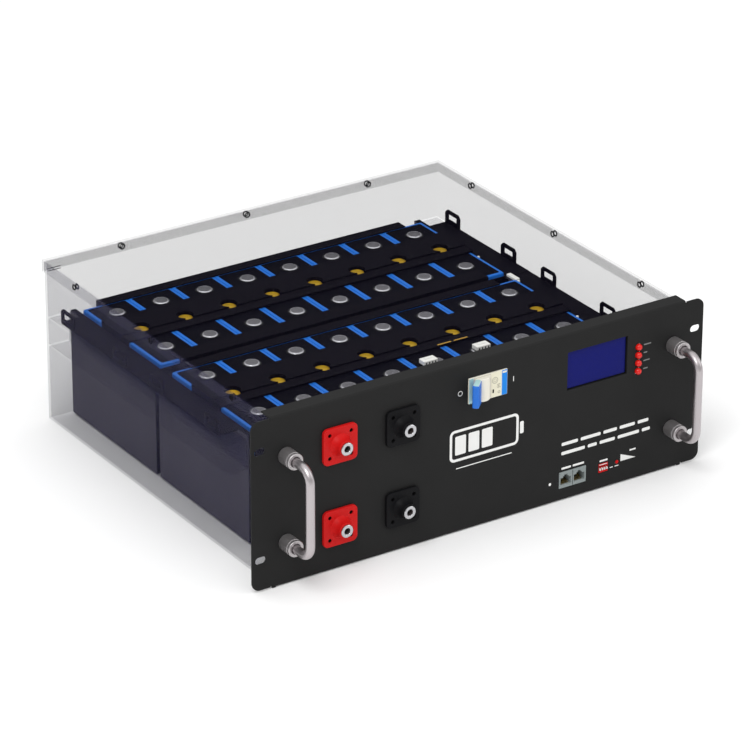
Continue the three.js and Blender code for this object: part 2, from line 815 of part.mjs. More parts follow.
// ---------- circuit breaker ----------
function addBreaker() {
  const noseHalf = breakerWindowWidth / 2 - gap;
  const bodyHalf = breakerBodyWidth / 2;
  const high = breakerWindowHeight / 2 - gap;
  const [low, top] = [breakerZ - high, breakerZ + high];
  const x = breakerCentreX;
  const axisX = x + drumOffset;
  const noseBack = breakerShoulder + weld;
  const nose = box(x - noseHalf, x + noseHalf, -breakerProud, noseBack, low, top);
  const [bodyLow, bodyTop] = [low - breakerBodyMargin, top + breakerBodyMargin];
  const [bodyFront, bodyBack] = [breakerShoulder, breakerBodyDepth];
  const body = box(x - bodyHalf, x + bodyHalf, bodyFront, bodyBack, bodyLow, bodyTop);
  const [drumLow, drumTop] = [breakerZ - drumHeight / 2, breakerZ + drumHeight / 2];
  const [pocketLow, pocketTop] = [drumLow - gap, drumTop + gap];
  const pocketRadius = drumRadius + pocketFit;
  const pocket = pinAlongZ(pocketRadius, pocketLow, pocketTop, axisX, drumDepth, facets.drum);
  addPiece("breaker_body", cut(join(nose, body), pocket), creamPlastic);

  const drum = pinAlongZ(drumRadius, drumLow, drumTop, 0, 0, facets.drum);
  const leverHalf = leverThickness / 2;
  const lever = box(-leverHalf, leverHalf, -leverReach, 0, drumLow, drumTop);
  const turnedLever = lever.rotate([0, 0, -leverLean]);
  addPiece("breaker_toggle", join(drum, turnedLever).translate([axisX, drumDepth, 0]), bluePlastic);
}
addBreaker();

// ---------- display and lamps ----------
function addDisplay() {
  const [x, z] = display;
  const width = displayWidth + 2 * displayOverlap;
  const height = displayHeight + 2 * displayOverlap;
  const back = behindPanel + displayGlass;
  addPiece("display_glass", panelBox(x, z, width, height, behindPanel, back), displayBlue);
  const boardWidth = displayWidth + 2 * displayBoardMargin;
  const boardHeight = displayHeight + 2 * displayBoardMargin;
  const [boardFront, boardBack] = [back + gap, back + gap + boardSheet];
  const board = panelBox(x, z, boardWidth, boardHeight, boardFront, boardBack);
  const partsBack = back + displayPartsReach;
  const parts = panelBox(x, z, displayWidth / 2, displayHeight / 2, boardBack - weld, partsBack);
  addPiece("display_board", join(board, parts), boardGreen);
}
addDisplay();

function addLamps() {
  const height = lampCount * lampPitch + lampBoardWidth - lampPitch;
  const boardBack = lampBoardDepth + boardSheet;
  const board = panelBox(lampX, lampMiddle, lampBoardWidth, height, lampBoardDepth, boardBack);
  const shoulder = lampRadius - lampProud;
  const lamps = lampHeights.map((z) => {
    const dome = [...Array(domeSteps).keys()].map((i) => {
      const angle = (i * Math.PI) / 2 / domeSteps;
      return [lampRadius * Math.cos(angle), shoulder - lampRadius * Math.sin(angle)];
    });
    const profile = [
      [0, lampBoardDepth + weld],
      [lampRadius, lampBoardDepth + weld],
      ...dome,
      [0, -lampProud],
    ];
    return turned(profile.toReversed(), lampX, z, facets.small);
  });
  addPiece("lamp_board", join(board, ...lamps), lampRed);
}
addLamps();

// ---------- data sockets and small switches ----------
function addSockets() {
  const body = panelBox(socketX, socketRise, socketWidth, socketHeight, -socketProud, socketDepth);
  const cavities = [...Array(portCount).keys()].flatMap((i) => {
    const x = socketX + (i - (portCount - 1) / 2) * (socketWidth / portCount);
    const latchHeight = latchSteps.reduce((sum, [, rise]) => sum + rise, 0);
    const floor = socketRise - (portHeight + latchHeight) / 2;
    const mouth = -socketProud - overcut;
    let z = floor + portHeight;
    const main = box(x - portWidth / 2, x + portWidth / 2, mouth, portDepth, floor, z);
    const latches = latchSteps.map(([width, rise]) => {
      const step = box(x - width / 2, x + width / 2, mouth, portDepth, z - weld, z + rise);
      z += rise;
      return step;
    });
    return [main, ...latches];
  });
  addPiece("data_socket", cut(body, ...cavities), greyPlastic);
}
addSockets();

function addDipSwitch() {
  const face = gap;
  const restZ = dipRise - dipTravel / 2; // the levers rest at the lower end of their slots
  const slotTall = dipLeverHeight + dipTravel + 2 * gap;
  let body = panelBox(dipX, dipRise, dipWidth, dipHeight, face, dipDepth);
  for (let i = 0; i < dipLevers; i++) {
    const x = dipX + (i - (dipLevers - 1) / 2) * dipPitch;
    const slotWide = dipLeverWidth + 2 * gap;
    const [mouth, slotBack] = [face - overcut, face + dipSlotDepth];
    body = cut(body, panelBox(x, dipRise, slotWide, slotTall, mouth, slotBack));
    const [front, back] = [-dipLeverProud, slotBack - gap];
    const lever = panelBox(x, restZ, dipLeverWidth, dipLeverHeight, front, back);
    addPiece("dip_lever_" + (i + 1), lever, whitePlastic);
  }
  addPiece("dip_switch", body, redPlastic);
}
addDipSwitch();

function addButtonAndBoard() {
  const tactFront = interfaceBoardDepth - tactHeight;
  const lipBack = tactFront - gap - buttonTravel;
  const lipFront = lipBack - buttonLipThickness;
  const plunger = [
    [0, lipBack],
    [buttonRadius + buttonLip, lipBack],
    [buttonRadius + buttonLip, lipFront],
    [buttonRadius, lipFront],
    [buttonRadius, -buttonProud + buttonChamfer],
    [buttonRadius - buttonChamfer, -buttonProud],
    [0, -buttonProud],
  ];
  const button = turned(plunger.toReversed(), buttonX, buttonRise, facets.small);
  addPiece("reset_button", button, redPlastic);
  const left = socketX - socketWidth / 2 - interfaceBoardLeft;
  const right = buttonX + interfaceBoardRight;
  const middle = socketRise + interfaceBoardLift;
  const [low, top] = [middle - interfaceBoardHeight / 2, middle + interfaceBoardHeight / 2];
  const [front, back] = [interfaceBoardDepth, interfaceBoardDepth + boardSheet];
  const board = box(left, right, front, back, low, top);
  const tact = panelBox(buttonX, buttonRise, tactSize, tactSize, tactFront, front + weld);
  addPiece("interface_board", join(board, tact), boardGreen);
}
addButtonAndBoard();

// ---------- battery manager and sense plugs ----------
function addManager() {
  const left = managerCentreX - managerWidth / 2;
  const right = managerCentreX + managerWidth / 2;
  const top = managerRise + managerHeight;
  const boardBack = managerDepth + boardSheet;
  addPiece("manager_board", box(left, right, managerDepth, boardBack, managerRise, top), boardGreen);
  const sinkFront = boardBack + gap;
  const sinkBack = sinkFront + heatSinkThickness;
  const [sinkLeft, sinkRight] = [left + heatSinkInset, right - heatSinkInset];
  const [sinkLow, sinkTop] = [managerRise + heatSinkInset, top - heatSinkInset];
  const slab = box(sinkLeft, sinkRight, sinkFront, sinkBack, sinkLow, sinkTop);
  const pitch = (sinkRight - sinkLeft - finThickness) / (heatSinkFins - 1);
  const valleys = [...Array(heatSinkFins - 1).keys()].map((i) => {
    const x = sinkLeft + i * pitch;
    const [floor, open] = [sinkFront + heatSinkBase, sinkBack + overcut];
    return box(x + finThickness, x + pitch, floor, open, sinkLow - overcut, sinkTop + overcut);
  });
  addPiece("manager_heat_sink", cut(slab, ...valleys), brushedMetal);
}
addManager();

sensePlugs.forEach(([cell, offset], i) => {
  const [width, depth, height] = sensePlugSize;
  const x = cellCentres[cell] + offset;
  const y = terminalMiddle(0) - terminalSpread / 2;
  const low = cellTop + terminalHeight + gap;
  const plug = box(x - width / 2, x + width / 2, y - depth / 2, y + depth / 2, low, low + height);
  addPiece("sense_plug_" + (i + 1), plug, whitePlastic);
});

// ---------- origin at the centre of the bottom of the bounding box ----------
const bounds = new THREE.Box3().setFromObject(pack);
pack.position.set(
  -(bounds.min.x + bounds.max.x) / 2,
  -(bounds.min.y + bounds.max.y) / 2,
  -bounds.min.z,
);

export default pack;
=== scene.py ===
"""Looks of a clear-cased rack battery pack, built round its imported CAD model.

Lengths inside the shape functions are millimetres in the model's own frame; a mesh is written in metres.
"""
import json
import math

import bmesh
import bpy
import numpy as np
from mathutils import Matrix, Vector


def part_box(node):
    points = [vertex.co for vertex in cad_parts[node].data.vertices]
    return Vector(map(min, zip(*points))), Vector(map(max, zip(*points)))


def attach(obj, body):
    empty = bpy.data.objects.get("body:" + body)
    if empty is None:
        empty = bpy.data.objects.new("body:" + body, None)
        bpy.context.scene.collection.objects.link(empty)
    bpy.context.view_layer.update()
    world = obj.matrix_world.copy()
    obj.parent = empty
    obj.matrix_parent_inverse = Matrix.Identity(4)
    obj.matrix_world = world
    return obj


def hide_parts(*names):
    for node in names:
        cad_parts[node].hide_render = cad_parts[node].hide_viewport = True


bl_info = {
    "name": "Rack battery pack",
    "version": (1, 0, 0),
    "blender": (4, 5, 0),
    "location": "View3D > Sidebar > Battery Pack",
    "description": "Builds the detailed pieces and finishes of a rack-mounted battery pack",
    "category": "Add Mesh",
}

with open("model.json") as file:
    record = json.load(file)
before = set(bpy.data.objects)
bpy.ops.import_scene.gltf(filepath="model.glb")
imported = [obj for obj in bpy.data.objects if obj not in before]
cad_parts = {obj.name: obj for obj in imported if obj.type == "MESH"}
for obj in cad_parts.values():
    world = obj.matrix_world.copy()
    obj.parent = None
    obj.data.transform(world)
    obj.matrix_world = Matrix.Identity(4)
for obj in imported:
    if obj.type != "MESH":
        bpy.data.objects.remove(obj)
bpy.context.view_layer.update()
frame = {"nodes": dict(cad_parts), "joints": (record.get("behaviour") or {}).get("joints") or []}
MM = 0.001
WELD = 1e-6
SHARP_PAST = 35
SIDES = ("left", "right")
LEVELS = ("upper", "lower")
TERMINALS = [(colour, level) for colour in ("red", "black") for level in LEVELS]
BLOCKS = (1, 2)
CELLS = range(1, 9)


def linear(code):
    """An sRGB hex colour as linear red, green and blue."""
    channels = [int(code[i:i + 2], 16) / 255 for i in (0, 2, 4)]
    return [c / 12.92 if c <= 0.04045 else ((c + 0.055) / 1.055) ** 2.4 for c in channels]


# ---------- sizes and colours that a user would change ----------
def length(name, description, millimetres):
    return bpy.props.FloatProperty(
        name=name, description=description, default=millimetres * MM, unit="LENGTH", precision=5
    )


def turn(name, description, degrees):
    return bpy.props.FloatProperty(
        name=name, description=description, default=math.radians(degrees), subtype="ANGLE"
    )


def tint(name, description, code):
    return bpy.props.FloatVectorProperty(
        name=name, description=description, default=linear(code), subtype="COLOR", min=0, max=1
    )


class PackSizes(bpy.types.PropertyGroup):
    """Sizes of the detail that the CAD model leaves to this file."""

    sheet: length("Panel sheet", "Thickness of the front panel's sheet", 2)
    panel_bend: length("Panel bend", "Outer radius of the panel's folds", 2.6)
    ear_corner: length("Ear corner", "Radius of the ears' corners", 8)
    ear_step: length("Ear step", "The ears' edges stand this far inside the folds", 1.2)
    notch_width: length("Notch width", "Relief beside each fold", 1.5)
    notch_depth: length("Notch depth", "Relief beside each fold", 2.5)
    slot_length: length("Rack slot length", "Along the panel", 11)
    slot_height: length("Rack slot height", "Up the panel", 7)
    slot_spacing: length("Rack slot spacing", "Between an ear's two slots", 104.8)
    slot_inset: length("Rack slot inset", "Slot's middle from the panel's end", 8.8)
    sheet_edge: length("Sheet edge", "Radius of a sheet's edges", 0.3)
    rod: length("Rod radius", "Handle bar", 4.1)
    rod_bend: length("Rod bend", "Radius of the handle's bends", 13)
    cell_corner: length("Cell corner", "Upright corners of a cell", 2.2)
    film_rim: length("Film rim", "Blue film folded over a cell's top edge", 3.3)
    terminal: length("Cell terminal radius", "Disc on a cell", 7.5)
    terminal_rise: length("Cell terminal height", "Disc above a cell", 1.7)
    terminal_spread: length("Cell terminal spread", "Between a cell's two discs", 88)
    terminal_shift: length("Cell terminal shift", "Discs and vent behind the cell's middle", 3.7)
    vent: length("Vent radius", "Vent in a cell's top", 7)
    flange_holes: length("Flange holes", "Between a power terminal's screws", 22)
    flange_hole: length("Flange hole radius", "For a power terminal's screws", 1.8)
    flange_corner: length("Flange corner", "Power terminal's flange", 5)
    flange_thickness: length("Flange thickness", "Power terminal's flange", 3.2)


class PackColours(bpy.types.PropertyGroup):
    """Base colours of the finishes."""

    powder_coat: tint("Powder coat", "Front panel", "242424")
    clear_sheet: tint("Clear sheet", "Tray and cover", "2c2a4c")
    anodised: tint("Anodised bar", "Handles", "b8b2b4")
    collar: tint("Collar", "Handles' ferrules", "b4b0b1")
    red_nylon: tint("Red nylon", "Positive terminals", "c41616")
    black_nylon: tint("Black nylon", "Negative terminals", "121214")
    film: tint("Cell film", "Film round the cells", "1d66c0")
    toggle: tint("Toggle", "Breaker's lever", "2a6fce")
    cream: tint("Breaker case", "Breaker's moulding", "e6e2d4")
    display: tint("Display", "Display glass", "070f66")
    lamp: tint("Lamps", "Lamps' domes", "d81f18")
    ink: tint("Print", "Marks on the panel", "e9e9e7")
    floor: tint("Floor", "Studio floor", "fafafa")


class PackView(bpy.types.PropertyGroup):
    """Camera round a point on the panel's face."""

    azimuth: turn("Azimuth", "Round the pack from straight in front", -33.31)
    elevation: turn("Elevation", "Above the horizon", 25.51)
    roll: turn("Roll", "About the line of sight", 0.23)
    distance: length("Distance", "From the aimed point", 3787.4)
    shift_right: length("Shift right", "Camera's place across its view", -96.03)
    shift_up: length("Shift up", "Camera's place up its view", 53.83)
    aim_height: length("Aim height", "Aimed point above the floor", 88.5)
    lens: bpy.props.FloatProperty(
        name="Lens", description="Focal length in mm on a 36 mm sensor", default=205.29
    )


def sizes():
    """The sizes as a dict of millimetres."""
    group = bpy.context.scene.pack_sizes
    return {name: getattr(group, name) / MM for name in PackSizes.__annotations__}


def colour(name):
    return [*getattr(bpy.context.scene.pack_colours, name), 1]


def box(node):
    """Lowest and highest corner of a CAD node, in millimetres."""
    low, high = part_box(node)
    return np.array(low) / MM, np.array(high) / MM


# ---------- shapes: each is (points, faces) ----------
def rounded(width, height, radius, steps=8):
    """Rounded rectangle about the origin: four quarter circles, each about its own corner's centre."""
    quarter = np.linspace(0, np.pi / 2, steps + 1)
    angle = np.concatenate([quarter + k * np.pi / 2 for k in range(4)])
    across = np.repeat([1, -1, -1, 1], steps + 1) * (width / 2 - radius)
    up = np.repeat([1, 1, -1, -1], steps + 1) * (height / 2 - radius)
    return np.stack([across + radius * np.cos(angle), up + radius * np.sin(angle)], -1)


def circle(radius, steps=48):
    """Points at equal angles on a circle."""
    angle = np.arange(steps) * 2 * np.pi / steps
    return radius * np.stack([np.cos(angle), np.sin(angle)], -1)


def skin(rings, ring_loop=False, caps=(True, True)):
    """Quads between neighbouring rings of a (rings, points, 3) grid; ends capped, or joined in a loop."""
    count, around = rings.shape[:2]
    rows = np.arange(count if ring_loop else count - 1)[:, None]
    here, ahead = np.arange(around)[None], (np.arange(around) + 1)[None] % around
    after = (rows + 1) % count
    quads = np.stack(
        [rows * around + here, rows * around + ahead, after * around + ahead, after * around + here], -1
    )
    faces = quads.reshape(-1, 4).tolist()
    last = (count - 1) * around
    ends = [list(range(around))[::-1], list(range(last, last + around))]
    faces += [end for end, capped in zip(ends, caps) if capped and not ring_loop]
    return rings.reshape(-1, 3), faces


def stand(points, axis):
    """Turns a shape drawn upright along Z so that Z becomes the given axis."""
    x, y, z = np.moveaxis(points, -1, 0)
    turned_axes = {"x": (z, x, y), "y": (x, z, y), "-y": (x, -z, y), "z": (x, y, z)}
    return np.stack(turned_axes[axis], -1)


def slab(low, high, corner=0.0, edge=0.3, axis="z", steps=5):
    """Box with round corners about an axis and round edges at both ends.

    The outline is a rounded rectangle; at each height it is set in by the edge's quarter circle.
    """
    low, high = np.array(low, float), np.array(high, float)
    order = {"x": (1, 2, 0), "y": (0, 2, 1), "z": (0, 1, 2)}[axis]
    size, middle = (high - low)[list(order)], ((high + low) / 2)[list(order)]
    edge = min(edge, size.min() / 2.01)
    corner = max(corner, edge * 1.02)
    angle = np.linspace(0, np.pi / 2, 4)
    inset = np.concatenate([edge * (1 - np.sin(angle)), edge * (1 - np.cos(angle))])
    height = np.concatenate([edge * (1 - np.cos(angle)), size[2] - edge * (1 - np.sin(angle))])
    rings = [
        np.column_stack([
            rounded(size[0] - 2 * i, size[1] - 2 * i, corner - i, steps),
            np.full(4 * (steps + 1), h - size[2] / 2),
        ])
        for i, h in zip(inset, height)
    ]
    points, faces = skin(np.array(rings) + middle)
    return stand(points, axis), faces


def lathe(profile, centre, axis="y", steps=64, closed=False, caps=(True, True)):
    """Turns a profile of (radius, height) about an axis; a closed profile makes a ring."""
    profile = np.array(profile, float)
    unit = circle(1, steps)
    rings = np.empty((len(profile), steps, 3))
    rings[..., :2] = profile[:, None, :1] * unit[None]
    rings[..., 2] = profile[:, None, 1]
    points, faces = skin(rings, closed, caps)
    return stand(points, axis) + np.array(centre, float), faces


def arc(centre, radius, start, end, steps=6):
    """Points of (radius, height) on a circle between two angles in degrees."""
    angle = np.radians(np.linspace(start, end, steps + 1))
    return np.stack([centre[0] + radius * np.cos(angle), centre[1] + radius * np.sin(angle)], -1)


def tube(path, radius, steps=40):
    """A circle carried along a path that lies in one upright plane through Y.

    Each ring's plane is square to the path: its axes are X and the path's normal in that plane.
    """
    path = np.array(path, float)
    ahead = np.gradient(path, axis=0)
    ahead /= np.linalg.norm(ahead, axis=1)[:, None]
    normal = np.cross(ahead, [1, 0, 0])
    unit = circle(radius, steps)
    rings = path[:, None] + unit[None, :, :1] * np.array([1, 0, 0]) + unit[None, :, 1:] * normal[:, None]
    return skin(rings)


def bar(section, start, end):
    """A section drawn in Y and Z carried along X."""
    section = np.array(section, float)
    ends = [np.column_stack([np.full(len(section), x), section]) for x in (start, end)]
    return skin(np.array(ends))


def cut_sheet(outlines, start, thickness, edge, axis="y"):
    """A flat sheet with holes, square to an axis: filled between its outlines, with round edges."""
    curve = bpy.data.curves.new("outline", "CURVE")
    curve.dimensions, curve.fill_mode = "2D", "BOTH"
    curve.extrude, curve.bevel_depth = thickness / 2 - edge, edge
    curve.bevel_resolution, curve.offset = 2, -edge
    for outline in outlines:
        spline = curve.splines.new("POLY")
        spline.points.add(len(outline) - 1)
        flat = np.column_stack([outline, np.zeros(len(outline)), np.ones(len(outline))])
        spline.points.foreach_set("co", flat.astype(np.float32).ravel())
        spline.use_cyclic_u = True
    holder = bpy.data.objects.new("outline", curve)
    bpy.context.scene.collection.objects.link(holder)
    depsgraph = bpy.context.evaluated_depsgraph_get()
    mesh = bpy.data.meshes.new_from_object(holder.evaluated_get(depsgraph))
    points = np.empty(len(mesh.vertices) * 3, np.float32)
    mesh.vertices.foreach_get("co", points)
    faces = [list(face.vertices) for face in mesh.polygons]
    points = stand(points.reshape(-1, 3) + [0, 0, start + thickness / 2], axis)
    bpy.data.objects.remove(holder)
    bpy.data.curves.remove(curve)
    bpy.data.meshes.remove(mesh)
    return points, faces


# ---------- pieces ----------
def write_mesh(name, parts):
    """One mesh from (shape, material) pairs; tidy_mesh welds it and turns its faces outwards."""
    mesh = bpy.data.meshes.new(name)
    points, faces, wearing, materials, start = [], [], [], [], 0
    for (shape_points, shape_faces), material in parts:
        if material not in materials:
            materials.append(material)
        points.append(shape_points)
        faces += [[start + i for i in face] for face in shape_faces]
        wearing += [materials.index(material)] * len(shape_faces)
        start += len(shape_points)
    mesh.from_pydata((np.concatenate(points) * MM).tolist(), [], faces)
    for material in materials:
        mesh.materials.append(material)
    mesh.polygons.foreach_set("material_index", wearing)
    return mesh


def tidy_mesh(mesh, smooth_below):
    """Welds doubles, turns faces outwards and keeps edges sharp past an angle in degrees."""
    work = bmesh.new()
    work.from_mesh(mesh)
    bmesh.ops.remove_doubles(work, verts=work.verts, dist=WELD)
    bmesh.ops.recalc_face_normals(work, faces=work.faces)
    work.to_mesh(mesh)
    work.free()
    mesh.polygons.foreach_set("use_smooth", [True] * len(mesh.polygons))
    mesh.set_sharp_from_angle(angle=math.radians(smooth_below))


def place(name, mesh, slot, body, nodes):
    """An object on its body, standing for the CAD nodes that it replaces."""
    piece = bpy.data.objects.new(name, mesh)
    bpy.context.scene.collection.objects.link(piece)
    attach(piece, body)
    if nodes:
        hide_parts(*nodes)
    return piece


def add_piece(name, parts, slot, body="pack", nodes=(), smooth_below=SHARP_PAST):
    """A piece of several parts, whose flat faces stay flat beside their round edges."""
    mesh = write_mesh(name, parts)
    tidy_mesh(mesh, smooth_below)
    piece = place(name, mesh, slot, body, nodes)
    piece.modifiers.new("Flat faces stay flat", "WEIGHTED_NORMAL").keep_sharp = True


def softened(node, finishes, slot, edge, choose=None):
    """The CAD node's own shape with its edges rounded by a live bevel.

    With several finishes, `choose` gives each face its own from its middle (mm) and its normal.
    """
    mesh = frame["nodes"][node].data.copy()
    mesh.materials.clear()
    for finish in finishes:
        mesh.materials.append(wear(finish))
    work = bmesh.new()
    work.from_mesh(mesh)
    bmesh.ops.remove_doubles(work, verts=work.verts, dist=WELD)
    bmesh.ops.dissolve_limit(work, angle_limit=math.radians(1), verts=work.verts, edges=work.edges)
    for face in work.faces:
        face.smooth = True
    work.to_mesh(mesh)
    work.free()
    mesh.set_sharp_from_angle(angle=math.radians(SHARP_PAST))
    if choose:
        middles, normals = np.empty((2, len(mesh.polygons) * 3), np.float32)
        mesh.polygons.foreach_get("center", middles)
        mesh.polygons.foreach_get("normal", normals)
        chosen = choose(middles.reshape(-1, 3) / MM, normals.reshape(-1, 3))
        mesh.polygons.foreach_set("material_index", chosen.astype(np.int32))
    bevel = place(node + "_body", mesh, slot, "pack", [node]).modifiers.new("Rounded edges", "BEVEL")
    bevel.width, bevel.segments = edge * MM, 2
    bevel.limit_method, bevel.angle_limit = "ANGLE", math.radians(SHARP_PAST)
    bevel.harden_normals = True


# ---------- finishes ----------
def new_finish(name):
    """A material, its node tree and its principled shader."""
    material = bpy.data.materials.new(name)
    material.use_nodes = True
    tree = material.node_tree
    return material, tree, tree.nodes["Principled BSDF"]


def add(tree, kind, into=None, output=0, **settings):
    """Adds a node: `set` fills its sockets, `feed` links them, and other settings are its own."""
    node = tree.nodes.new(kind)
    values, links = settings.pop("set", {}), settings.pop("feed", {})
    for key, value in settings.items():
        setattr(node, key, value)
    for key, value in values.items():
        node.inputs[key].default_value = value
    for key, source in links.items():
        tree.links.new(source, node.inputs[key])
    if into is not None:
        tree.links.new(node.outputs[output], into)
    return node


def grained(name, base, roughness, grain, relief, metallic=0.0, fade=0.1, spread=0.06, specular=0.5):
    """A finish with a grain.

    Slow noise fades the colour a little; noise as fine as the grain (in mm) varies the roughness
    and lifts the surface by the relief (in mm).
    """
    material, tree, shader = new_finish(name)
    spot = add(tree, "ShaderNodeTexCoord").outputs["Object"]
    slow = add(tree, "ShaderNodeTexNoise", set={"Scale": 1 / (35 * MM), "Detail": 3}, feed={"Vector": spot})
    add(
        tree, "ShaderNodeMix", into=shader.inputs["Base Color"], output=2, data_type="RGBA",
        set={6: [c * (1 - fade) for c in base[:3]] + [1], 7: [c * (1 + fade) for c in base[:3]] + [1]},
        feed={0: slow.outputs[0]},
    )
    fine = add(
        tree, "ShaderNodeTexNoise", set={"Scale": 1 / (grain * MM), "Detail": 2}, feed={"Vector": spot}
    )
    add(
        tree, "ShaderNodeMapRange", into=shader.inputs["Roughness"],
        set={"To Min": roughness - spread, "To Max": roughness + spread}, feed={"Value": fine.outputs[0]},
    )
    add(
        tree, "ShaderNodeBump", into=shader.inputs["Normal"],
        set={"Strength": 0.6, "Distance": relief * MM}, feed={"Height": fine.outputs[0]},
    )
    shader.inputs["Metallic"].default_value = metallic
    shader.inputs["Specular IOR Level"].default_value = specular
    return material


def hexed(code):
    return [*linear(code), 1]


def powder_coat():
    """Polyester powder coat on steel: matt black with a soft orange-peel, drawn a little coarse."""
    return grained("Black powder coat", colour("powder_coat"), 0.6, 0.9, 0.05, specular=0.08)


def clear(name, alpha, base=None):
    """Violet-tinted polycarbonate sheet, polished: mostly see-through, with slight haze in places."""
    material = grained(name, base or colour("clear_sheet"), 0.2, 14, 0.004, spread=0.05, specular=0.12)
    material.node_tree.nodes["Principled BSDF"].inputs["Alpha"].default_value = alpha
    return material


def anodised_bar():
    """Satin anodised aluminium bar: soft reflection with a fine blasted grain."""
    return grained("Anodised aluminium bar", colour("anodised"), 0.36, 0.35, 0.02, metallic=1.0, fade=0.03)


def turned_collar():
    """Anodised aluminium, turned: its tool marks, noise squeezed along the axis, run round it.

    A band is half a millimetre, where a real one is a quarter, so that it shows.
    """
    material = grained("Turned aluminium collar", colour("collar"), 0.42, 0.6, 0.03, metallic=0.9, fade=0.04)
    tree = material.node_tree
    fine = [node for node in tree.nodes if node.type == "TEX_NOISE"][1]
    spot = next(node for node in tree.nodes if node.type == "TEX_COORD").outputs["Object"]
    add(
        tree, "ShaderNodeMapping", into=fine.inputs["Vector"],
        set={"Scale": (0.04, 1.2, 0.04)}, feed={"Vector": spot},
    )
    return material


def moulded(name, base, roughness=0.42, specular=0.2):
    """Injection-moulded plastic: a fine spark-eroded grain of half a millimetre."""
    return grained(name, base, roughness, 0.5, 0.02, fade=0.06, specular=specular)


def plated(name, base, roughness=0.26):
    """Plated or bare metal with a fine satin grain."""
    return grained(name, base, roughness, 0.4, 0.01, metallic=1.0, fade=0.05)


def cell_film():
    """PET film shrunk over the can: satin blue with long shallow wrinkles a few millimetres apart."""
    return grained("Blue PET film", colour("film"), 0.4, 5, 0.12, fade=0.08, specular=0.1)


def insulation(name="Black insulating board", code="0e0c13", relief=0.04):
    """Black insulating board with a faint fibre, which scatters the light a little."""
    return grained(name, hexed(code), 0.55, 1.2, relief, fade=0.2, spread=0.1, specular=0.015)


def tiles(name, base, line, pitch, gap_share, roughness, bump=0.0, specular=0.5):
    """A surface ruled into rectangles of a pitch (in mm), drawn in the panel's plane."""
    material, tree, shader = new_finish(name)
    spot = add(tree, "ShaderNodeTexCoord").outputs["Object"]
    facing = add(
        tree, "ShaderNodeMapping", set={"Rotation": (math.radians(90), 0, 0)}, feed={"Vector": spot}
    )
    brick = add(
        tree, "ShaderNodeTexBrick", into=shader.inputs["Base Color"], offset=0.0,
        set={
            "Scale": 1 / (pitch[0] * MM), "Brick Width": 1.0, "Row Height": pitch[1] / pitch[0],
            "Mortar Size": gap_share, "Color1": [c * 0.92 for c in base[:3]] + [1], "Color2": base,
            "Mortar": line,
        },
        feed={"Vector": facing.outputs[0]},
    )
    add(
        tree, "ShaderNodeMapRange", into=shader.inputs["Roughness"],
        set={"To Min": roughness, "To Max": roughness + 0.1}, feed={"Value": brick.outputs["Fac"]},
    )
    if bump:
        add(
            tree, "ShaderNodeBump", into=shader.inputs["Normal"],
            set={"Strength": 0.5, "Distance": bump * MM}, feed={"Height": brick.outputs["Fac"]},
        )
    shader.inputs["Specular IOR Level"].default_value = specular
    return material


def display_glass():
    """Blue liquid-crystal glass: cells a millimetre square, coarser than real ones so that they show."""
    base = colour("display")
    return tiles(
        "Blue display glass", base, [c * 0.8 for c in base[:3]] + [1], (1.1, 1.1), 0.06, 0.12, specular=0.1
    )


def circuit_board():
    """Green solder mask over glass-epoxy: copper tracks show as lighter ruled lines."""
    return tiles("Green circuit board", hexed("14452c"), hexed("2c6b47"), (5.2, 1.9), 0.07, 0.35, 0.03)


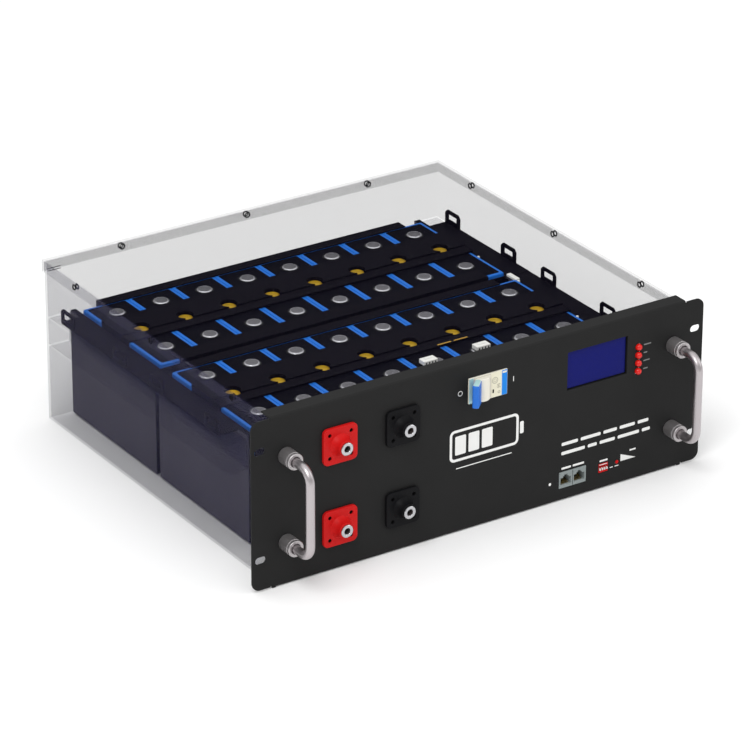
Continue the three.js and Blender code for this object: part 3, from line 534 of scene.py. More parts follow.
FINISHES = {
    "powder": powder_coat,
    # Copies of one clear sheet for painted light and shade: lid and floor lighter on level faces, duct denser
    # beside the duct, rear a grey shade on rear and right faces.
    "clear": lambda: clear("Tinted polycarbonate", 0.134),
    "lid": lambda: clear("Polycarbonate painted lighter on level lid faces", 0.012),
    "floor": lambda: clear("Polycarbonate painted lighter on level tray faces", 0.05),
    "duct": lambda: clear("Polycarbonate painted denser beside the duct", 0.2),
    "rear": lambda: clear("Polycarbonate painted grey as shade on rear and right faces", 0.19, hexed("2c2c30")),
    "bar": anodised_bar,
    "collar": turned_collar,
    "red": lambda: moulded("Moulded red nylon", colour("red_nylon"), specular=0.12),
    "black": lambda: moulded("Moulded black nylon", colour("black_nylon"), 0.48, specular=0.08),
    "plating": lambda: plated("Tin-plated brass", hexed("bdbdc0")),
    # The bush's bore is painted dark as shade inside the hole.
    "bore": lambda: grained(
        "Thread painted dark as shade in the bore", hexed("3c3636"), 0.5, 0.4, 0.02, metallic=0.3, specular=0.1
    ),
    "cream": lambda: moulded("Moulded cream polyamide", colour("cream")),
    "pale": lambda: moulded("Moulded pale cyan polycarbonate", hexed("a9cfcf")),
    "toggle": lambda: moulded("Glossy blue polycarbonate", colour("toggle"), 0.28),
    "label": lambda: moulded("Printed cream label", hexed("e0dcc6"), 0.5),
    "seal": lambda: moulded("Grey stamped seal", hexed("a9a798"), 0.5),
    "blue_label": lambda: moulded("Blue label strip", hexed("1280dc"), 0.4),
    "display": display_glass,
    "board": circuit_board,
    "lamp": lambda: moulded("Red epoxy dome", colour("lamp"), 0.2, specular=0.4),
    "socket": lambda: moulded("Moulded grey polyester", hexed("889090"), 0.5),
    "gold": lambda: plated("Gold-plated contact", hexed("d2a43a"), 0.25),
    "white": lambda: moulded("Moulded white nylon", hexed("dcdcd8")),
    "light": lambda: moulded("White light pipe", hexed("fbfbf8"), 0.2),
    "sink": lambda: plated("Extruded aluminium", hexed("a9a9ab"), 0.38),
    "film": cell_film,
    "plate": lambda: insulation("Black insulating film", "08070f"),
    "insulation": insulation,
    "holder": lambda: insulation("Moulded black polypropylene", "0e0c13"),
    # Lighter grey for the end plates' outer faces below the shelf, with black above: painted light and shade
    # on one moulding.
    "painted_lighter_side": lambda: insulation("Black moulding painted lighter below the shelf", "49474f", 0.004),
    # One aluminium disc in two shades: the rim painted lighter as a highlight, the dish darker as shade.
    "terminal": lambda: plated("Aluminium painted with a highlight on disc rims", hexed("b8b8bd"), 0.24),
    "dish": lambda: plated("Aluminium dish painted darker as shade", hexed("757479"), 0.4),
    "foil": lambda: plated("Gold vent foil", hexed("d8b02c"), 0.42),
    "ink": lambda: moulded("White screen ink", colour("ink"), 0.6),
    "faint_ink": lambda: moulded("Grey screen ink", hexed("7d7d7d"), 0.6),
    "steel": lambda: grained("Black oxide steel", hexed("060607"), 0.5, 0.4, 0.01, specular=0.04),
    "zinc": lambda: plated("Zinc-plated steel", hexed("b9bbbd"), 0.3),
}
worn = {}


def wear(key):
    """The finish of that name, made the first time that a piece wears it."""
    if key not in worn:
        worn[key] = FINISHES[key]()
    return worn[key]


# ---------- operators: each makes one piece or a group of like pieces ----------
class PACK_OT_case(bpy.types.Operator):
    """Clear tray and cover with round edges, and the black press nuts that hold them together"""

    bl_idname = "battery_pack.case"
    bl_label = "Case"
    nut_drop = 5.5
    nut_first, nut_pitch = 66, 137.3
    back_nuts = (-137, 0, 137)
    nut_radius, nut_bore, nut_thickness = 3.1, 1.9, 0.9
    duct_floor_drop, duct_roof_drop = 86.3, 59
    tray_sheet = 1.5
    slit_inset, slit_length, slit_height, slit_depth = 4, 14, 0.7, 0.2
    slit_drops = (4, 6.4)

    def nut(self, wall, x, y, z, axis):
        """A thin ring against a wall, lying along the axis from `wall`."""
        low, high, round_edge = wall, wall + self.nut_thickness, 0.3
        profile = [
            (self.nut_bore, low), (self.nut_bore, high),
            (self.nut_radius - round_edge, high), (self.nut_radius, high - round_edge),
            (self.nut_radius, low + round_edge), (self.nut_radius - round_edge, low),
        ]
        return lathe(profile, (x, y, z), axis, 32, closed=True)

    def execute(self, context):
        (front, _), (cover_low, cover_high) = box("front_panel"), box("top_cover")
        duct_low, duct_high = cover_high[2] - self.duct_floor_drop, cover_high[2] - self.duct_roof_drop

        def sheet_light_and_shade(middle, normal):
            """Painted light and shade on one clear sheet: level sheets are made clearer, rear and right ones
            a denser grey as shade, and the ducts' outer ones denser to darken that band.
            """
            level, sideways = (np.abs(normal[:, axis]) > 0.9 for axis in (2, 0))
            beside_duct = sideways & (middle[:, 2] > duct_low) & (middle[:, 2] < duct_high)
            rear = (np.abs(normal[:, 1]) > 0.9) | (sideways & (middle[:, 0] > 0))
            return np.select([level, rear, beside_duct], [1, 3, 2])

        # Each face takes a lighter or darker copy of the sheet by its facing: painted light and shade.
        softened("case_tray", ["clear", "floor", "duct", "rear"], "clear_sheet", 0.45, choose=sheet_light_and_shade)
        softened("top_cover", ["clear", "lid", "clear", "rear"], "clear_sheet", 0.45, choose=sheet_light_and_shade)
        z = cover_high[2] - self.nut_drop
        nuts = []
        tray_side, tray_back = box("case_tray")[1][:2] - self.tray_sheet
        for i in range(3):
            y = front[1] + self.nut_first + i * self.nut_pitch
            for side in (-1, 1):
                for wall in (cover_high[0], tray_side):
                    nuts.append(self.nut(side * wall - (side > 0) * self.nut_thickness, 0, y, z, "x"))
        for x in self.back_nuts:
            for wall in (cover_high[1], tray_back):
                nuts.append(self.nut(wall - self.nut_thickness, x, 0, z, "y"))
        steel = wear("steel")
        add_piece("cover_press_nuts", [(nut, steel) for nut in nuts], "black_plastic")
        # The two slits are black strips on the back wall's inside: painted shade of the slits' openings.
        start = cover_low[0] + self.slit_inset
        slits = [
            slab(
                (start, tray_back - self.slit_depth, z - drop),
                (start + self.slit_length, tray_back, z - drop + self.slit_height), edge=0.05,
            )
            for drop in self.slit_drops
        ]
        add_piece("cover_slits_painted_shade", [(slit, steel) for slit in slits], "black_plastic")
        return {"FINISHED"}


class PACK_OT_panel(bpy.types.Operator):
    """Folded front panel: a cut sheet with its windows, and the two lips carried along the folds"""

    bl_idname = "battery_pack.panel"
    bl_label = "Front panel"
    boss_hole, lamp_hole, button_hole, light_hole = 9.3, 3.4, 2.0, 1.6
    breaker_window, breaker_room, breaker_inset = 41.5, 0.6, 2
    windows = (("display_glass", -2.5, 0.8), ("data_socket", 0.3, 0.4), ("dip_switch", 0.3, 0.4))
    lower_lip_inset = 3.6

    def outline(self, s, low, high, fold, bottom_fold):
        """Half of the outline from the bottom fold round the ear to the top fold, then its mirror image."""
        ear, corner, edge = high[0], s["ear_corner"], s["sheet_edge"]
        bend, notch = s["panel_bend"], fold + s["notch_width"]
        bottom, top = low[2], high[2]
        ear_low, ear_high = bottom + s["ear_step"], top - s["ear_step"]
        right = np.concatenate([
            [(bottom_fold, bottom + bend - edge), (bottom_fold, bottom), (fold, bottom)],
            [(fold, bottom + s["notch_depth"]), (notch, bottom + s["notch_depth"]), (notch, ear_low)],
            arc((ear - corner, ear_low + corner), corner, -90, 0, 12),
            arc((ear - corner, ear_high - corner), corner, 0, 90, 12),
            [(notch, ear_high), (notch, top - s["notch_depth"]), (fold, top - s["notch_depth"])],
            [(fold, top - bend + edge)],
        ])
        return np.concatenate([right, right[::-1] * [-1, 1]])

    def holes(self, s, high, middle):
        """Rack slots, and a window round each fitting's own box."""
        found = []
        for side in (-1, 1):
            for level in (-0.5, 0.5):
                slot = rounded(s["slot_length"], s["slot_height"], s["slot_height"] / 2 - 0.01, 10)
                found.append(slot + [side * (high[0] - s["slot_inset"]), middle + level * s["slot_spacing"]])
        for colour_name, level in TERMINALS:
            a, b = box(f"terminal_block_{colour_name}_{level}")
            found.append(circle(self.boss_hole, 48) + (a + b)[[0, 2]] / 2)
        for node, room, corner in self.windows:
            a, b = box(node)
            size = (b - a)[[0, 2]] + 2 * room
            found.append(rounded(*size, corner, 4) + (a + b)[[0, 2]] / 2)
        a, b = box("breaker_body")
        nose = (self.breaker_window, b[2] - a[2] - self.breaker_inset + self.breaker_room)
        found.append(rounded(*nose, 0.6, 4) + (a + b)[[0, 2]] / 2)
        found += [circle(self.lamp_hole, 40) + spot for spot in lamp_spots()]
        a, b = box("reset_button")
        found.append(circle(self.button_hole, 32) + (a + b)[[0, 2]] / 2)
        found.append(circle(self.light_hole, 32) + light_spot())
        return found

    def lip(self, s, front, edge_z, inward, depth):
        """Section of a fold: an outer and an inner quarter circle a sheet apart, and the lip's round end."""
        bend, sheet = s["panel_bend"], s["sheet"]
        centre = (front + bend, edge_z + inward * bend)
        outer = arc(centre, bend, 180, 180 - inward * -90, 8)
        inner = arc(centre, bend - sheet, 180 - inward * -90, 180, 8)
        tip = (front + depth - sheet / 2, edge_z + inward * sheet / 2)
        end = arc(tip, sheet / 2, -90 * inward, 90 * inward, 6)
        return np.concatenate([outer, end, inner])

    def execute(self, context):
        s = sizes()
        low, high = box("front_panel")
        front = low[1]
        fold = box("top_cover")[1][0]
        bottom_fold = fold - self.lower_lip_inset
        middle = (low[2] + high[2]) / 2
        outlines = [self.outline(s, low, high, fold, bottom_fold), *self.holes(s, high, middle)]
        powder = wear("powder")
        depth = high[1] - front
        parts = [
            (cut_sheet(outlines, front, s["sheet"], s["sheet_edge"]), powder),
            (bar(self.lip(s, front, high[2], -1, depth), -fold, fold), powder),
            (bar(self.lip(s, front, low[2], 1, depth), -bottom_fold, bottom_fold), powder),
        ]
        add_piece("front_panel_sheet", parts, "panel_paint", nodes=["front_panel"], smooth_below=30)
        return {"FINISHED"}


def cell_top(s):
    """Height of the cells' black plates, below their terminals."""
    return box("cell_1_1")[1][2] - s["terminal_rise"]


def lamp_spots():
    """X and Z of the four lamps, a pitch apart about the lamp board's middle."""
    low, high = box("lamp_board")
    middle, pitch = (low + high)[[0, 2]] / 2, 7.95
    return [middle + [0, (1.5 - i) * pitch] for i in range(4)]


def light_spot():
    """X and Z of the light pipe, left of the data sockets."""
    low, high = box("data_socket")
    beside, below = 24.6, 1.1
    return (low + high)[[0, 2]] / 2 - [beside, below]


class PACK_OT_print(bpy.types.Operator):
    """Generic marks on the panel: a battery sign, switch signs, a wedge and plain bars in place of words"""

    bl_idname = "battery_pack.print"
    bl_label = "Panel print"
    proud, sunk = 0.06, 0.04
    sign_level, line_level = 86, 63.5
    charge_bars = (-24.5, -10.2, 4.1)

    def bars(self, x, z, widths, height, gap):
        """Round-ended bars in a row, in place of words."""
        made = []
        for width in widths:
            made.append(rounded(width, height, height * 0.3, 3) + [x + width / 2, z])
            x += width + gap
        return made

    def execute(self, context):
        low, high = box("front_panel")
        right, bottom = high[0], low[2]
        breaker_low, breaker_high = box("breaker_body")
        breaker_z = (breaker_low[2] + breaker_high[2]) / 2
        breaker_x = (breaker_low[0] + breaker_high[0]) / 2
        sign = bottom + self.sign_level
        shapes = [
            [rounded(74, 31, 5) + [1, sign], rounded(69, 26, 2.8) + [1, sign]],
            [rounded(4, 12, 1.2, 4) + [41.5, sign]],
            *[[rounded(11.5, 18.5, 1.2, 4) + [x, sign]] for x in self.charge_bars],
            [rounded(60, 0.9, 0.4, 3) + [1, bottom + self.line_level]],
            [circle(2.5, 40) + [breaker_x - 29, breaker_z], circle(1.9, 40) + [breaker_x - 29, breaker_z]],
            [rounded(0.75, 5, 0.3, 3) + [breaker_x + 28, breaker_z]],
            [np.array([(right - 89, bottom + 22), (right - 72, bottom + 22), (right - 89, bottom + 29)])],
        ]
        rows = [
            *self.bars(right - 155.5, bottom + 56.5, (18, 22, 15, 17, 12), 3.2, 3.2),
            *self.bars(right - 155.5, bottom + 47.3, (26, 10, 17, 24, 9), 3.2, 3.2),
            *self.bars(right - 155, bottom + 32, (10.5, 12.5), 2, 2),
            *self.bars(right - 112.5, bottom + 28, (9,), 1.8, 1),
            *self.bars(right - 100.8, bottom + 18.6, (3.4, 4.4), 0.8, 2),
            *self.bars(right - 79, bottom + 30.5, (7,), 1.6, 1),
        ]
        faint = []
        for (x, z), width in zip(lamp_spots(), (8, 4, 7, 5)):
            faint += self.bars(x + 6, z + 0.8, (width,), 1.2, 1)
        shapes += [[row] for row in rows]

        def printed(shape, ink):
            return cut_sheet(shape, low[1] - self.proud, self.proud + self.sunk, 0.01), wear(ink)

        parts = [printed(shape, "ink") for shape in shapes] + [printed([row], "faint_ink") for row in faint]
        add_piece("panel_print", parts, "white_plastic")
        return {"FINISHED"}


class PACK_OT_handles(bpy.types.Operator):
    """Two bent bars in turned collars, with the screws that hold them from behind"""

    bl_idname = "battery_pack.handles"
    bl_label = "Handles"
    ridges, ridge_depth = 36, 0.12

    def route(self, s, low, high, front):
        """Straight out, a quarter circle, down the grip, a quarter circle and straight back."""
        x = (low[0] + high[0]) / 2
        reach, bend = low[1] + s["rod"], s["rod_bend"]
        top, bottom = high[2] - s["rod"], low[2] + s["rod"]
        start, straight = front - 6.3, 8
        upper = arc((reach + bend, top - bend), bend, 90, 180, 20)
        lower = arc((reach + bend, bottom + bend), bend, 180, 270, 20)
        route = np.concatenate([
            [(start, top), (start - straight, top)], upper, lower,
            [(start - straight, bottom), (start, bottom)],
        ])
        return np.column_stack([np.full(len(route), x), route])

    def collar(self, low, high):
        """Ring with a chamfered mouth, a shallow groove near the mouth and a bore round the bar."""
        front, back, radius = low[1], high[1], (high[0] - low[0]) / 2
        middle = (low + high) / 2
        profile = np.concatenate([
            [(2.5, back), (2.5, back - 4.7), (4.5, back - 4.7), (4.5, front + 0.7), (4.9, front + 0.2)],
            [(5.2, front)], arc((radius - 1, front + 1), 1, -90, 0, 5),
            [(radius, front + 3), (radius - 0.3, front + 3.25), (radius - 0.3, front + 3.75)],
            [(radius, front + 4), (radius, back - 0.5), (radius - 0.5, back)],
        ])
        return self.knurled(lathe(profile, (0, 0, 0), "y", 144, closed=True), front + 4.2, radius, middle)

    def knurled(self, shape, start, radius, middle):
        """Behind the groove, the outside goes in by half of 1 + cos(ridges x angle) ridge depths."""
        points, faces = shape
        across, along, up = points.T
        angle = np.arctan2(up, across)
        outside = (along > start) & (np.hypot(across, up) > radius - 0.2)
        shrink = 1 - outside * (self.ridge_depth / radius) * (1 + np.cos(self.ridges * angle))
        return np.stack([across * shrink + middle[0], along, up * shrink + middle[2]], -1), faces

    def execute(self, context):
        s = sizes()
        front = box("front_panel")[0][1]
        for side in SIDES:
            low, high = box("handle_" + side)
            rod = tube(self.route(s, low, high, front), s["rod"])
            add_piece(f"handle_{side}_bar", [(rod, wear("bar"))], "handle_metal", nodes=["handle_" + side])
            for level in LEVELS:
                node = f"ferrule_{side}_{level}"
                low, high = box(node)
                collar = self.collar(low, high)
                add_piece(node + "_collar", [(collar, wear("collar"))], "ferrule_metal", nodes=[node])
                middle = (low + high) / 2
                head = [(2.2, front - 4), (2.2, front + 2), (4.6, front + 2), (4.6, front + 3.2)]
                head += [(3.9, front + 4.6), (2.1, front + 5.1), (1.8, front + 3.6)]
                screw = lathe(head, (middle[0], 0, middle[2]), "y", 32)
                add_piece(f"handle_screw_{side}_{level}", [(screw, wear("zinc"))], "handle_metal")
        return {"FINISHED"}


class PACK_OT_terminals(bpy.types.Operator):
    """Four power terminals: flanged plastic bodies, threaded inserts and black flange screws"""

    bl_idname = "battery_pack.terminals"
    bl_label = "Power terminals"
    boss_length, boss_depth, boss_hole = 9.5, 21, 9.5

    def boss(self, low, s):
        """Ring whose radius flares from the tip to the flange as the way along to the power 2.2."""
        tip, flange = low[1], low[1] + self.boss_length
        along = np.linspace(0, 1, 12)
        flare = np.column_stack([7.2 + 3.4 * along**2.2, tip + 0.8 + along * (flange - tip - 0.8)])
        back = low[1] + self.boss_depth
        return np.concatenate([
            [(4.7, back), (4.7, tip + 0.4), (5.1, tip)], arc((6.4, tip + 0.8), 0.8, -90, 0, 4), flare,
            [(10.6, flange + s["flange_thickness"] - 0.3), (9, flange + s["flange_thickness"] - 0.2)],
            [(9, back - 0.6), (8.4, back)],
        ])

    def insert(self, low, high):
        """Collared bush: the bore's wall goes in and out by half a thread depth every half pitch."""
        front, back = low[1], high[1]
        depth = np.arange(12.5, 0.9, -0.5)
        thread = np.column_stack([2.95 - 0.4 * (np.arange(len(depth)) % 2), front + depth])
        bore = np.concatenate([[(0.1, front + 14), (2.6, front + 14)], thread, [(3, front + 0.4)]])
        outside = [(3, front + 0.4), (3.4, front), (5.5, front), (6, front + 0.4), (6, front + 1.2)]
        outside += [(4.4, front + 1.2), (4.4, back - 0.5), (3.9, back)]
        return bore, outside

    def screw(self, x, z, front):
        """Socket-head screw sunk in the flange: a chamfered head round a blind hexagon's circle."""
        profile = [(1.2, front + 3), (1.65, front + 2.9), (1.65, front + 0.9), (1.45, front + 0.7)]
        profile += [(0.8, front + 0.7), (0.8, front + 1.5)]
        return lathe(profile, (x, 0, z), "y", 20)

    def execute(self, context):
        s = sizes()
        for colour_name, level in TERMINALS:
            name = f"{colour_name}_{level}"
            low, high = box("terminal_block_" + name)
            middle = ((low + high) / 2)[[0, 2]]
            width = high[0] - low[0]
            square = np.array([(-1, -1), (1, -1), (1, 1), (-1, 1)])
            corners = middle + s["flange_holes"] / 2 * square
            outlines = [rounded(width, width, s["flange_corner"]) + middle]
            outlines += [circle(s["flange_hole"], 28) + c for c in corners]
            outlines += [circle(self.boss_hole, 48) + middle]
            flange_front = low[1] + self.boss_length
            flange = cut_sheet(outlines, flange_front, s["flange_thickness"], 0.55)
            spot = (middle[0], 0, middle[1])
            boss = lathe(self.boss(low, s), spot, "y", 72, closed=True)
            plastic = wear(colour_name)
            add_piece(
                f"terminal_{name}_body", [(flange, plastic), (boss, plastic)], colour_name + "_plastic",
                nodes=["terminal_block_" + name],
            )
            insert_low, insert_high = box("terminal_insert_" + name)
            bore, outside = self.insert(insert_low, insert_high)
            parts = [
                # Bore painted dark: painted shade inside the plated bush.
                (lathe(bore, spot, "y", 56, caps=(True, False)), wear("bore")),
                (lathe(outside, spot, "y", 56, caps=(False, True)), wear("plating")),
            ]
            add_piece(f"terminal_{name}_bush", parts, "terminal_plating", nodes=["terminal_insert_" + name])
            screws = [(self.screw(x, z, flange_front), wear("steel")) for x, z in corners]
            add_piece(f"terminal_{name}_screws", screws, "black_plastic")
        return {"FINISHED"}


class PACK_OT_breaker(bpy.types.Operator):
    """Circuit breaker: cream moulding with its label, and the blue lever on a pale drum"""

    bl_idname = "battery_pack.breaker"
    bl_label = "Circuit breaker"
    proud = 0.12
    drum_radius, reach, thick, lean = 9, 23, 6, math.radians(-45)

    def execute(self, context):
        self.label()
        self.lever()
        return {"FINISHED"}

    def label(self):
        """Label, blue strip, seals and the pale ledge, laid on the moulding's face."""
        low, high = box("breaker_body")
        front = low[1]
        x, z = (low[0] + high[0]) / 2, (low[2] + high[2]) / 2
        half = (high[2] - low[2]) / 2 - 1.2
        softened("breaker_body", ["cream"], "breaker_plastic", 0.4)

        def flat(x0, x1, z0, z1, lift=0.0):
            return slab((x0, front - self.proud - lift, z0), (x1, front, z1), 0.4, 0.05, "y")

        def ring(cx, cz, outer, inner):
            outlines = [circle(outer, 40) + [cx, cz], circle(inner, 40) + [cx, cz]]
            return cut_sheet(outlines, front - self.proud - 0.05, 0.1, 0.02)

        label_left, strip_left, right = x + 3.4, x + 14.6, x + 20.2
        parts = [
            (flat(label_left, strip_left - 0.3, z - half, z + half), wear("label")),
            (flat(strip_left, right, z - half, z + half), wear("blue_label")),
            (flat(strip_left + 0.6, right - 0.6, z + half - 2.8, z + half - 1, 0.04), wear("label")),
            (ring(x + 7.2, z + 4.2, 3.2, 2.5), wear("seal")),
            (ring(x + 7.2, z + 4.2, 1.7, 1.2), wear("seal")),
            (ring(x + 11.6, z - 8, 1.4, 0.7), wear("seal")),
            (flat(x + 4.6, x + 6.2, z - 7.8, z - 4.2, 0.05), wear("black")),
        ]
        for row, width in enumerate((3.2, 2.4, 3.6)):
            line_z = z - 0.6 - row * 1.5
            parts.append((flat(x + 9.6, x + 9.6 + width, line_z, line_z + 0.4, 0.04), wear("seal")))
        parts.append((flat(x - 20.3, x - 15.9, z - half, z + half), wear("pale")))
        add_piece("breaker_label", parts, "breaker_plastic")

    def lever(self):
        """Drum on the switch's axis, with a stem, a blue cap, its pale top and three ribs, all leaning."""
        low, high = box("breaker_toggle")
        foot, head = low[2], high[2]
        axis = Vector(next(j for j in frame["joints"] if j["name"] == "breaker_switch")["pos_m"]) / MM
        radius, tip, half = self.drum_radius, -self.reach, self.thick / 2
        profile = [(radius - 0.4, foot), (radius, foot + 0.4), (radius, head - 0.4), (radius - 0.4, head)]
        drum = lathe(profile, (axis[0], axis[1], 0), "z", 72)
        turn_back = np.array(Matrix.Rotation(self.lean, 3, "Z"))

        def leaning(low, high, corner, edge):
            points, faces = slab(low, high, corner, edge)
            return points @ turn_back.T + [axis[0], axis[1], 0], faces

        stem = leaning((-half + 0.4, tip + 1, foot + 0.4), (half - 0.4, 0, head - 0.4), 1, 0.3)
        cap = leaning((-half, tip, foot), (half, -8.4, head - 0.5), 1.6, 0.7)
        top = leaning((-half + 0.7, tip + 0.8, head - 0.6), (half - 0.7, -9, head), 1.1, 0.25)
        starts = [tip + 2 + 2.2 * i for i in range(3)]
        ribs = [
            leaning((-half - 0.25, start, foot + 2), (half + 0.25, start + 1, head - 2), 0.4, 0.2)
            for start in starts
        ]
        pale, blue = wear("cream"), wear("toggle")
        parts = [(drum, pale), (stem, pale), (cap, blue), (top, wear("pale")), *[(rib, blue) for rib in ribs]]
        add_piece("breaker_lever", parts, "toggle_plastic", "breaker_toggle", ["breaker_toggle"])


class PACK_OT_display(bpy.types.Operator):
    """Display glass in its black border, the board behind it, and four red lamps on theirs"""

    bl_idname = "battery_pack.display"
    bl_label = "Display and lamps"
    board_thickness, lamp_radius = 1.6, 3.1

    def execute(self, context):
        low, high = box("display_glass")
        softened("display_glass", ["display"], "display_glass", 0.3)
        middle, size = ((low + high) / 2)[[0, 2]], (high - low)[[0, 2]]
        outlines = [rounded(*(size - 0.4), 1, 4) + middle, rounded(*(size - 7), 0.6, 4) + middle]
        border = cut_sheet(outlines, low[1] - 0.15, 0.2, 0.04)
        add_piece("display_border", [(border, wear("black"))], "black_plastic")
        softened("display_board", ["board"], "circuit_board", 0.2)

        low, high = box("lamp_board")
        front, back, radius = low[1], high[1], self.lamp_radius
        board = slab((low[0], back - self.board_thickness, low[2]), high, 0.8, 0.15, "y")
        add_piece("lamp_strip", [(board, wear("board"))], "circuit_board", nodes=["lamp_board"])
        lamps = []
        for x, z in lamp_spots():
            dome = arc((0, front + radius), radius, -88, 0, 10)
            foot = [(radius, back - 3.2), (radius + 0.35, back - 3), (radius + 0.35, back - 1.7)]
            lamps.append((lathe(np.concatenate([dome, foot]), (x, 0, z), "y", 40), wear("lamp")))
        add_piece("lamps", lamps, "lamp_plastic")
        return {"FINISHED"}


class PACK_OT_sockets(bpy.types.Operator):
    """Twin data socket, slide switch, reset button, light pipe and the board that carries them"""

    bl_idname = "battery_pack.sockets"
    bl_label = "Sockets and switches"
    pins, pin_pitch, pin_half = 8, 1.02, 0.22

    def execute(self, context):
        self.data_sockets()
        self.slide_switch()
        self.button_and_light()
        softened("interface_board", ["board"], "circuit_board", 0.15)
        return {"FINISHED"}

    def data_sockets(self):
        """The housing, sprung contacts that slope up into each opening, and the seam between the two."""
        low, high = box("data_socket")
        front, middle = low[1], (low + high) / 2
        softened("data_socket", ["socket"], "socket_plastic", 0.25)
        pitch, floor = (high[0] - low[0]) / 2, middle[2] - 5
        slope = [
            (front + 1.6, floor + 0.3), (front + 1.9, floor + 0.15),
            (front + 10.5, floor + 3.6), (front + 10.3, floor + 3.9),
        ]
        contacts = []
        for i in range(2):
            x = middle[0] + (i - 0.5) * pitch
            for pin in range(self.pins):
                px = x + (pin - (self.pins - 1) / 2) * self.pin_pitch
                contacts.append((bar(slope, px - self.pin_half, px + self.pin_half), wear("gold")))
            # A black wall at the back of each opening, darker than the grey housing: painted shade deep in
            # the socket.
            shaded_back_wall = slab(
                (x - 5.8, front + 12.6, floor + 0.1), (x + 5.8, front + 13.1, floor + 6.8), 0.3, 0.1, "y"
            )
            contacts.append((shaded_back_wall, wear("black")))
        add_piece("socket_contacts", contacts, "terminal_plating")
        seam = slab(
            (middle[0] - 0.25, front - 0.03, low[2] + 0.4), (middle[0] + 0.25, front + 0.3, high[2] - 0.4),
            0.1, 0.02, "y",
        )
        add_piece("socket_seam", [(seam, wear("black"))], "black_plastic")

    def slide_switch(self):
        """Red housing with its white mark, and four thumbs that ride their own levers."""
        low, high = box("dip_switch")
        softened("dip_switch", ["red"], "red_plastic", 0.15)
        band = slab(
            (low[0] + 0.8, low[1] - 0.05, high[2] - 1.6), (high[0] - 0.8, low[1], high[2] - 0.9),
            0.1, 0.02, "y",
        )
        add_piece("dip_mark", [(band, wear("ink"))], "white_plastic")
        for i in range(1, 5):
            node = f"dip_lever_{i}"
            thumb = slab(*box(node), 0.25, 0.15, "y")
            add_piece(node + "_thumb", [(thumb, wear("white"))], "white_plastic", node, [node])

    def button_and_light(self):
        """Domed cap on the button's stem, and the domed end of the light pipe."""
        low, high = box("reset_button")
        front, back = low[1], high[1]
        x, z = ((low + high) / 2)[[0, 2]]
        cap = np.concatenate([
            arc((0, front + 2.2), 2.2, -88, -40, 6),
            [(1.7, front + 0.9), (1.7, back - 1.5), (2.7, back - 1.5), (2.7, back)],
        ])
        turned = lathe(cap, (x, 0, z), "y", 40)
        add_piece("reset_cap", [(turned, wear("red"))], "red_plastic", "reset_button", ["reset_button"])

        x, z = light_spot()
        face = box("front_panel")[0][1]
        pipe = np.concatenate([arc((0, face + 2), 2.2, -88, -48, 6), [(1.48, face + 0.4), (1.48, face + 16)]])
        add_piece("light_pipe", [(lathe(pipe, (x, 0, z), "y", 40), wear("light"))], "white_plastic")


class PACK_OT_cells(bpy.types.Operator):
    """Sixteen prismatic cells: filmed can, black top plate, two terminal discs and a foil vent"""

    bl_idname = "battery_pack.cells"
    bl_label = "Cells"

    def execute(self, context):
        s = sizes()
        rim = s["film_rim"]
        for block in BLOCKS:
            for number in CELLS:
                node = f"cell_{block}_{number}"
                low, high = box(node)
                top = high[2] - s["terminal_rise"]
                x, y = (low[0] + high[0]) / 2, (low[1] + high[1]) / 2 + s["terminal_shift"]
                can = slab(low, (high[0], high[1], top), s["cell_corner"], 1.1)
                plate = slab(
                    (low[0] + rim, low[1] + rim, top - 0.3), (high[0] - rim, high[1] - rim, top + 0.2),
                    1.6, 0.12,
                )
                parts = [(can, wear("film")), (plate, wear("plate"))]
                edge, dish = self.disc(top, s)
                for side in (-1, 1):
                    spot = (x, y + side * s["terminal_spread"] / 2, 0)
                    # Rim and dish of one disc: painted highlight on the rim, painted shade in the dish.
                    parts.append((lathe(edge, spot, "z", 48, closed=True), wear("terminal")))
                    parts.append((lathe(dish, spot, "z", 48), wear("dish")))
                    parts.append((self.gasket(spot, top, s), wear("black")))
                parts.append((self.vent((x, y, 0), top, s), wear("foil")))
                add_piece(node + "_case", parts, "cell_wrap", nodes=[node])
        return {"FINISHED"}

    def disc(self, top, s):
        """Turned disc: a rim with a broad chamfer, painted bright as a highlight, and a dish with a small
        weld button, painted darker as shade.
        """
        radius, high = s["terminal"], top + s["terminal_rise"]
        rim = [(radius, top), (radius, high - 0.8), (radius - 0.9, high), (radius - 1.5, high)]
        rim += [(radius - 1.5, top)]
        dish = [(radius - 1.5, top), (radius - 1.5, high - 0.3), (radius - 1.8, high - 0.22)]
        dish += [(2.6, high - 0.22), (2.3, high - 0.05), (0.9, high - 0.05), (0.6, high - 0.35)]
        return rim, dish

    def gasket(self, spot, top, s):
        """Low ring round a disc, chamfered outside."""
        radius = s["terminal"]
        profile = [(radius + 0.05, top), (radius + 1.5, top), (radius + 1.5, top + 0.45)]
        profile += [(radius + 1.2, top + 0.6), (radius + 0.05, top + 0.6)]
        return lathe(profile, spot, "z", 40, closed=True)

    def vent(self, spot, top, s):
        """Foil disc with a score line pressed round it."""
        radius = s["vent"]
        profile = [(radius, top), (radius, top + 0.4), (radius - 0.3, top + 0.5), (radius - 1, top + 0.5)]
        profile += [(radius - 1.2, top + 0.3), (radius - 1.5, top + 0.3), (radius - 1.7, top + 0.5)]
        profile += [(0.5, top + 0.5)]
        return lathe(profile, spot, "z", 40)


